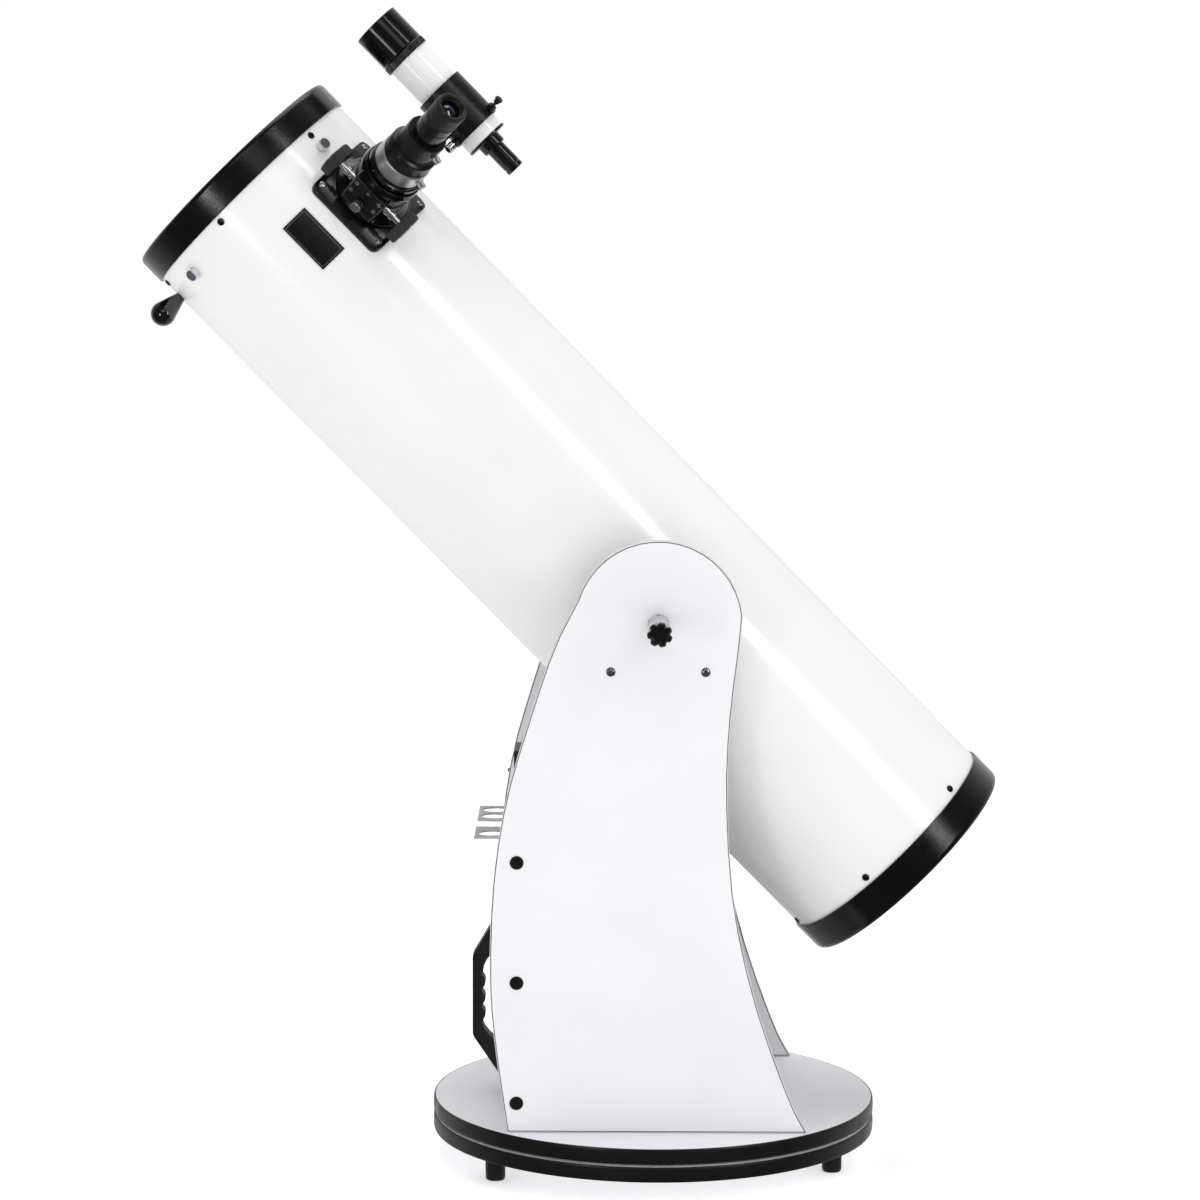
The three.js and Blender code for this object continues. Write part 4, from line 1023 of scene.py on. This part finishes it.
def finder():
    back = -(FINDER.translation - PIVOT).dot(FORWARD) / MM
    refined("finder_shoe", "anodised_black", "tube", edge=0.5)
    refined("finder_bracket", "wrinkle_paint", "tube", edge=0.9)
    wall = [(23.9, 530.8), (25.9, 530.8, 0.3), (25.9, 669, 0.3), (23.9, 669)]
    turned("finder_tube_wall", wall, FINDER, "tube_enamel", "tube", "finder_tube", sides=128, low=back, edge=0.2)
    turned("finder_lock_ring_knurled", [(26.2, 659.6), (28.4, 659.6, 0.4), (29.2, 660.5), (29.2, 668.1),
        (28.4, 669, 0.4), (26.2, 669)], FINDER, "gloss_black", "finder_lock_ring", "finder_lock_ring", sides=288,
        low=back, edge=0.25, shape=ribs(72, 0.5, 28.7))
    turned("finder_objective_cell", [(0, 669.5), (27.8, 669.5), (28.7, 670.6), (28.7, 713, 0.8), (28, 714, 0.5),
        (27, 713.6), (27, 683), (0, 683)], FINDER, "gloss_black", "finder_objective", "finder_objective", sides=160,
        low=back, edge=0.35)
    face = [(25.8 * math.sin(a), 683.2 + 5.2 * math.cos(a), 0) for a in (1.5, 1.25, 1.0, 0.75, 0.5, 0.25)]
    turned("finder_objective_lens", [(0, 682.8), (25.8, 682.8), *face, (0, 688.4)], FINDER, "coated_lens",
        "finder_objective", sides=96, low=back, edge=0.1)
    turned("finder_eyepiece_barrel", [(0, 484), (8.4, 484), (8.8, 481.4, 0.6), (10.4, 481, 0.8), (11, 482.6),
        (11, 486.4), (10.5, 486.8), (10.5, 488.2), (11, 488.6), (11, 514.6), (13.8, 515.6, 0.8), (14.8, 517),
        (14.8, 526.6), (25.6, 527.4, 0.6), (26.5, 528.3), (26.5, 530.5), (0, 530.5)], FINDER, "gloss_black", "tube",
        "finder_eyepiece", sides=128, low=back, edge=0.35)
    eye = [(7.6 * math.sin(a), 484.1 - 2.2 * math.cos(a), 0) for a in (0.3, 0.6, 0.9, 1.2, 1.5)]
    turned("finder_eye_lens", [(0, 481.9), *eye, (7.6, 484.6), (0, 484.6)], FINDER, "coated_lens", "tube", sides=64,
        low=back, edge=0.1)
    for side in ("near", "far"):
        place = on_joint(f"finder_screw_{side}_turn")
        turned(f"finder_screw_{side}_knob", [(0, 0), (1.2, 0, 0.4), (2, 0.8), *thread(2, 1.2, 16.6, 0.9, 0.3),
            (2, 17), (3.6, 17.2, 0.3), (3.6, 18.4), (2.2, 18.7, 0.4), (2.2, 20.4, 0.4), (4.5, 20.8), (4.8, 21.3),
            (4.8, 23.2, 0.5), (4.2, 23.8, 0.3), (0, 23.8)], place, "dark_knurl", f"finder_screw_{side}",
            f"finder_screw_{side}", sides=120, edge=0.15, shape=ribs(24, 0.45, 4.4))
    place = on_joint("finder_plunger_turn")
    turned("finder_plunger_body", [(0, 0), (1.4, 0, 0.6), (2, 1.2), (2, 11.3), (5, 11.5, 0.4), (5.5, 12.2),
        (5.5, 17.6), (4.9, 18.0), (4.9, 19.0), (5.5, 19.4), (5.5, 20.2, 0.8), (4.2, 20.8, 0.5), (0, 20.8)], place,
        "polished_chrome", "finder_plunger", "finder_spring_plunger", sides=96, edge=0.2)


finder()

# --- Camera, floor and light ---


def look_from(position, yaw, pitch, roll):
    """The frame of a camera at a place, turned from +Y by yaw, lifted by pitch and then rolled."""
    ahead = Vector((math.sin(yaw) * math.cos(pitch), math.cos(yaw) * math.cos(pitch), math.sin(pitch)))
    right = Vector((math.cos(yaw), -math.sin(yaw), 0))
    top = right.cross(ahead)
    turned_right = right * math.cos(roll) + top * math.sin(roll)
    turned_top = top * math.cos(roll) - right * math.sin(roll)
    place = Matrix((turned_right, turned_top, -ahead)).transposed().to_4x4()
    place.translation = Vector(position)
    return place


def softbox(name, position, target, width, height, power):
    light = bpy.data.lights.new(name, "AREA")
    light.shape = "RECTANGLE"
    light.size, light.size_y = width, height
    light.energy = power
    lamp = bpy.data.objects.new(name, light)
    lamp.rotation_mode = "QUATERNION"
    lamp.rotation_quaternion = (Vector(target) - Vector(position)).to_track_quat("-Z", "Y")
    lamp.location = Vector(position)
    bpy.context.scene.collection.objects.link(lamp)


def surroundings():
    """A white background for the camera, soft light from above, and a dimmer room for gloss to mirror."""
    world = bpy.data.worlds.new("studio")
    world.use_nodes = True
    tree = world.node_tree
    tree.nodes.clear()
    way = add(tree, "ShaderNodeTexCoord")
    parts = add(tree, "ShaderNodeSeparateXYZ")
    tree.links.new(way.outputs["Generated"], parts.inputs["Vector"])
    path = add(tree, "ShaderNodeLightPath")

    def background(colour, strength):
        made = add(tree, "ShaderNodeBackground", Color=(*colour, 1))
        if isinstance(strength, float):
            made.inputs["Strength"].default_value = strength
        else:
            tree.links.new(strength, made.inputs["Strength"])
        return made.outputs["Background"]

    def either(ray, otherwise, chosen):
        made = add(tree, "ShaderNodeMixShader")
        for source, socket in zip((path.outputs[ray], otherwise, chosen), made.inputs):
            tree.links.new(source, socket)
        return made.outputs["Shader"]

    lit = background((0.97, 0.98, 1.0), ramp(tree, parts.outputs["Z"], 0, 1, 0.16, 1.08))
    mirrored = background((0.8, 0.8, 0.8), ramp(tree, parts.outputs["Y"], -0.1, 0.9, 0.10, 1.0))
    seen = background((1, 1, 1), 1.0)
    out = add(tree, "ShaderNodeOutputWorld")
    tree.links.new(either("Is Camera Ray", either("Is Glossy Ray", lit, mirrored), seen), out.inputs["Surface"])
    return world


def studio():
    scene = bpy.context.scene
    camera = bpy.data.cameras.new("camera")
    camera.lens, camera.sensor_width = 107.70, 36.0
    camera.clip_start, camera.clip_end = 0.1, 200.0
    view = bpy.data.objects.new("camera", camera)
    view.matrix_world = look_from((0.0300, -4.2146, 1.1556), 0.00057, -0.11604, 0.00395)
    scene.collection.objects.link(view)
    scene.camera = view

    bm = bmesh.new()
    rows = [[bm.verts.new((x * 4.0, y * 4.0, 0)) for x in range(-6, 7)] for y in range(-6, 7)]
    for a, b in zip(rows, rows[1:]):
        for k in range(12):
            bm.faces.new((a[k], a[k + 1], b[k + 1], b[k]))
    floor = from_bmesh("floor", bm, WORLD)
    floor.data.materials.append(floor_look())
    floor.visible_glossy = False

    scene.world = surroundings()
    softbox("key_light", (2.6, -2.6, 2.4), (0.0, 0.0, 0.9), 0.7, 3.4, 38)
    softbox("left_light", (-1.5, -2.5, 0.7), (-0.2, 0.0, 0.9), 0.45, 0.7, 8)
    softbox("front_light", (0.2, -4.6, 3.6), (0.0, 0.0, 0.7), 3.0, 2.0, 17)
    softbox("top_light", (0.0, 0.6, 4.2), (0.0, 0.0, 0.8), 3.0, 3.0, 48)
    scene.view_settings.view_transform = "Standard"
    scene.view_settings.look = "None"
    scene.view_settings.exposure = 0.0
    scene.view_settings.gamma = 1.0


def floor_look():
    material = bpy.data.materials.new("floor_paper")
    material.use_nodes = True
    tree = material.node_tree
    shader = tree.nodes["Principled BSDF"]
    shader.inputs["Roughness"].default_value = 0.7
    place = add(tree, "ShaderNodeTexCoord")
    paper = add(tree, "ShaderNodeTexNoise", Scale=40.0, Detail=4.0)
    tree.links.new(place.outputs["Object"], paper.inputs["Vector"])
    tree.links.new(ramp(tree, paper.outputs["Fac"], 0, 1, 0.90, 0.93), shader.inputs["Base Color"])
    shader.inputs["Emission Color"].default_value = (1, 1, 1, 1)
    shader.inputs["Emission Strength"].default_value = 0.34
    return material


studio()
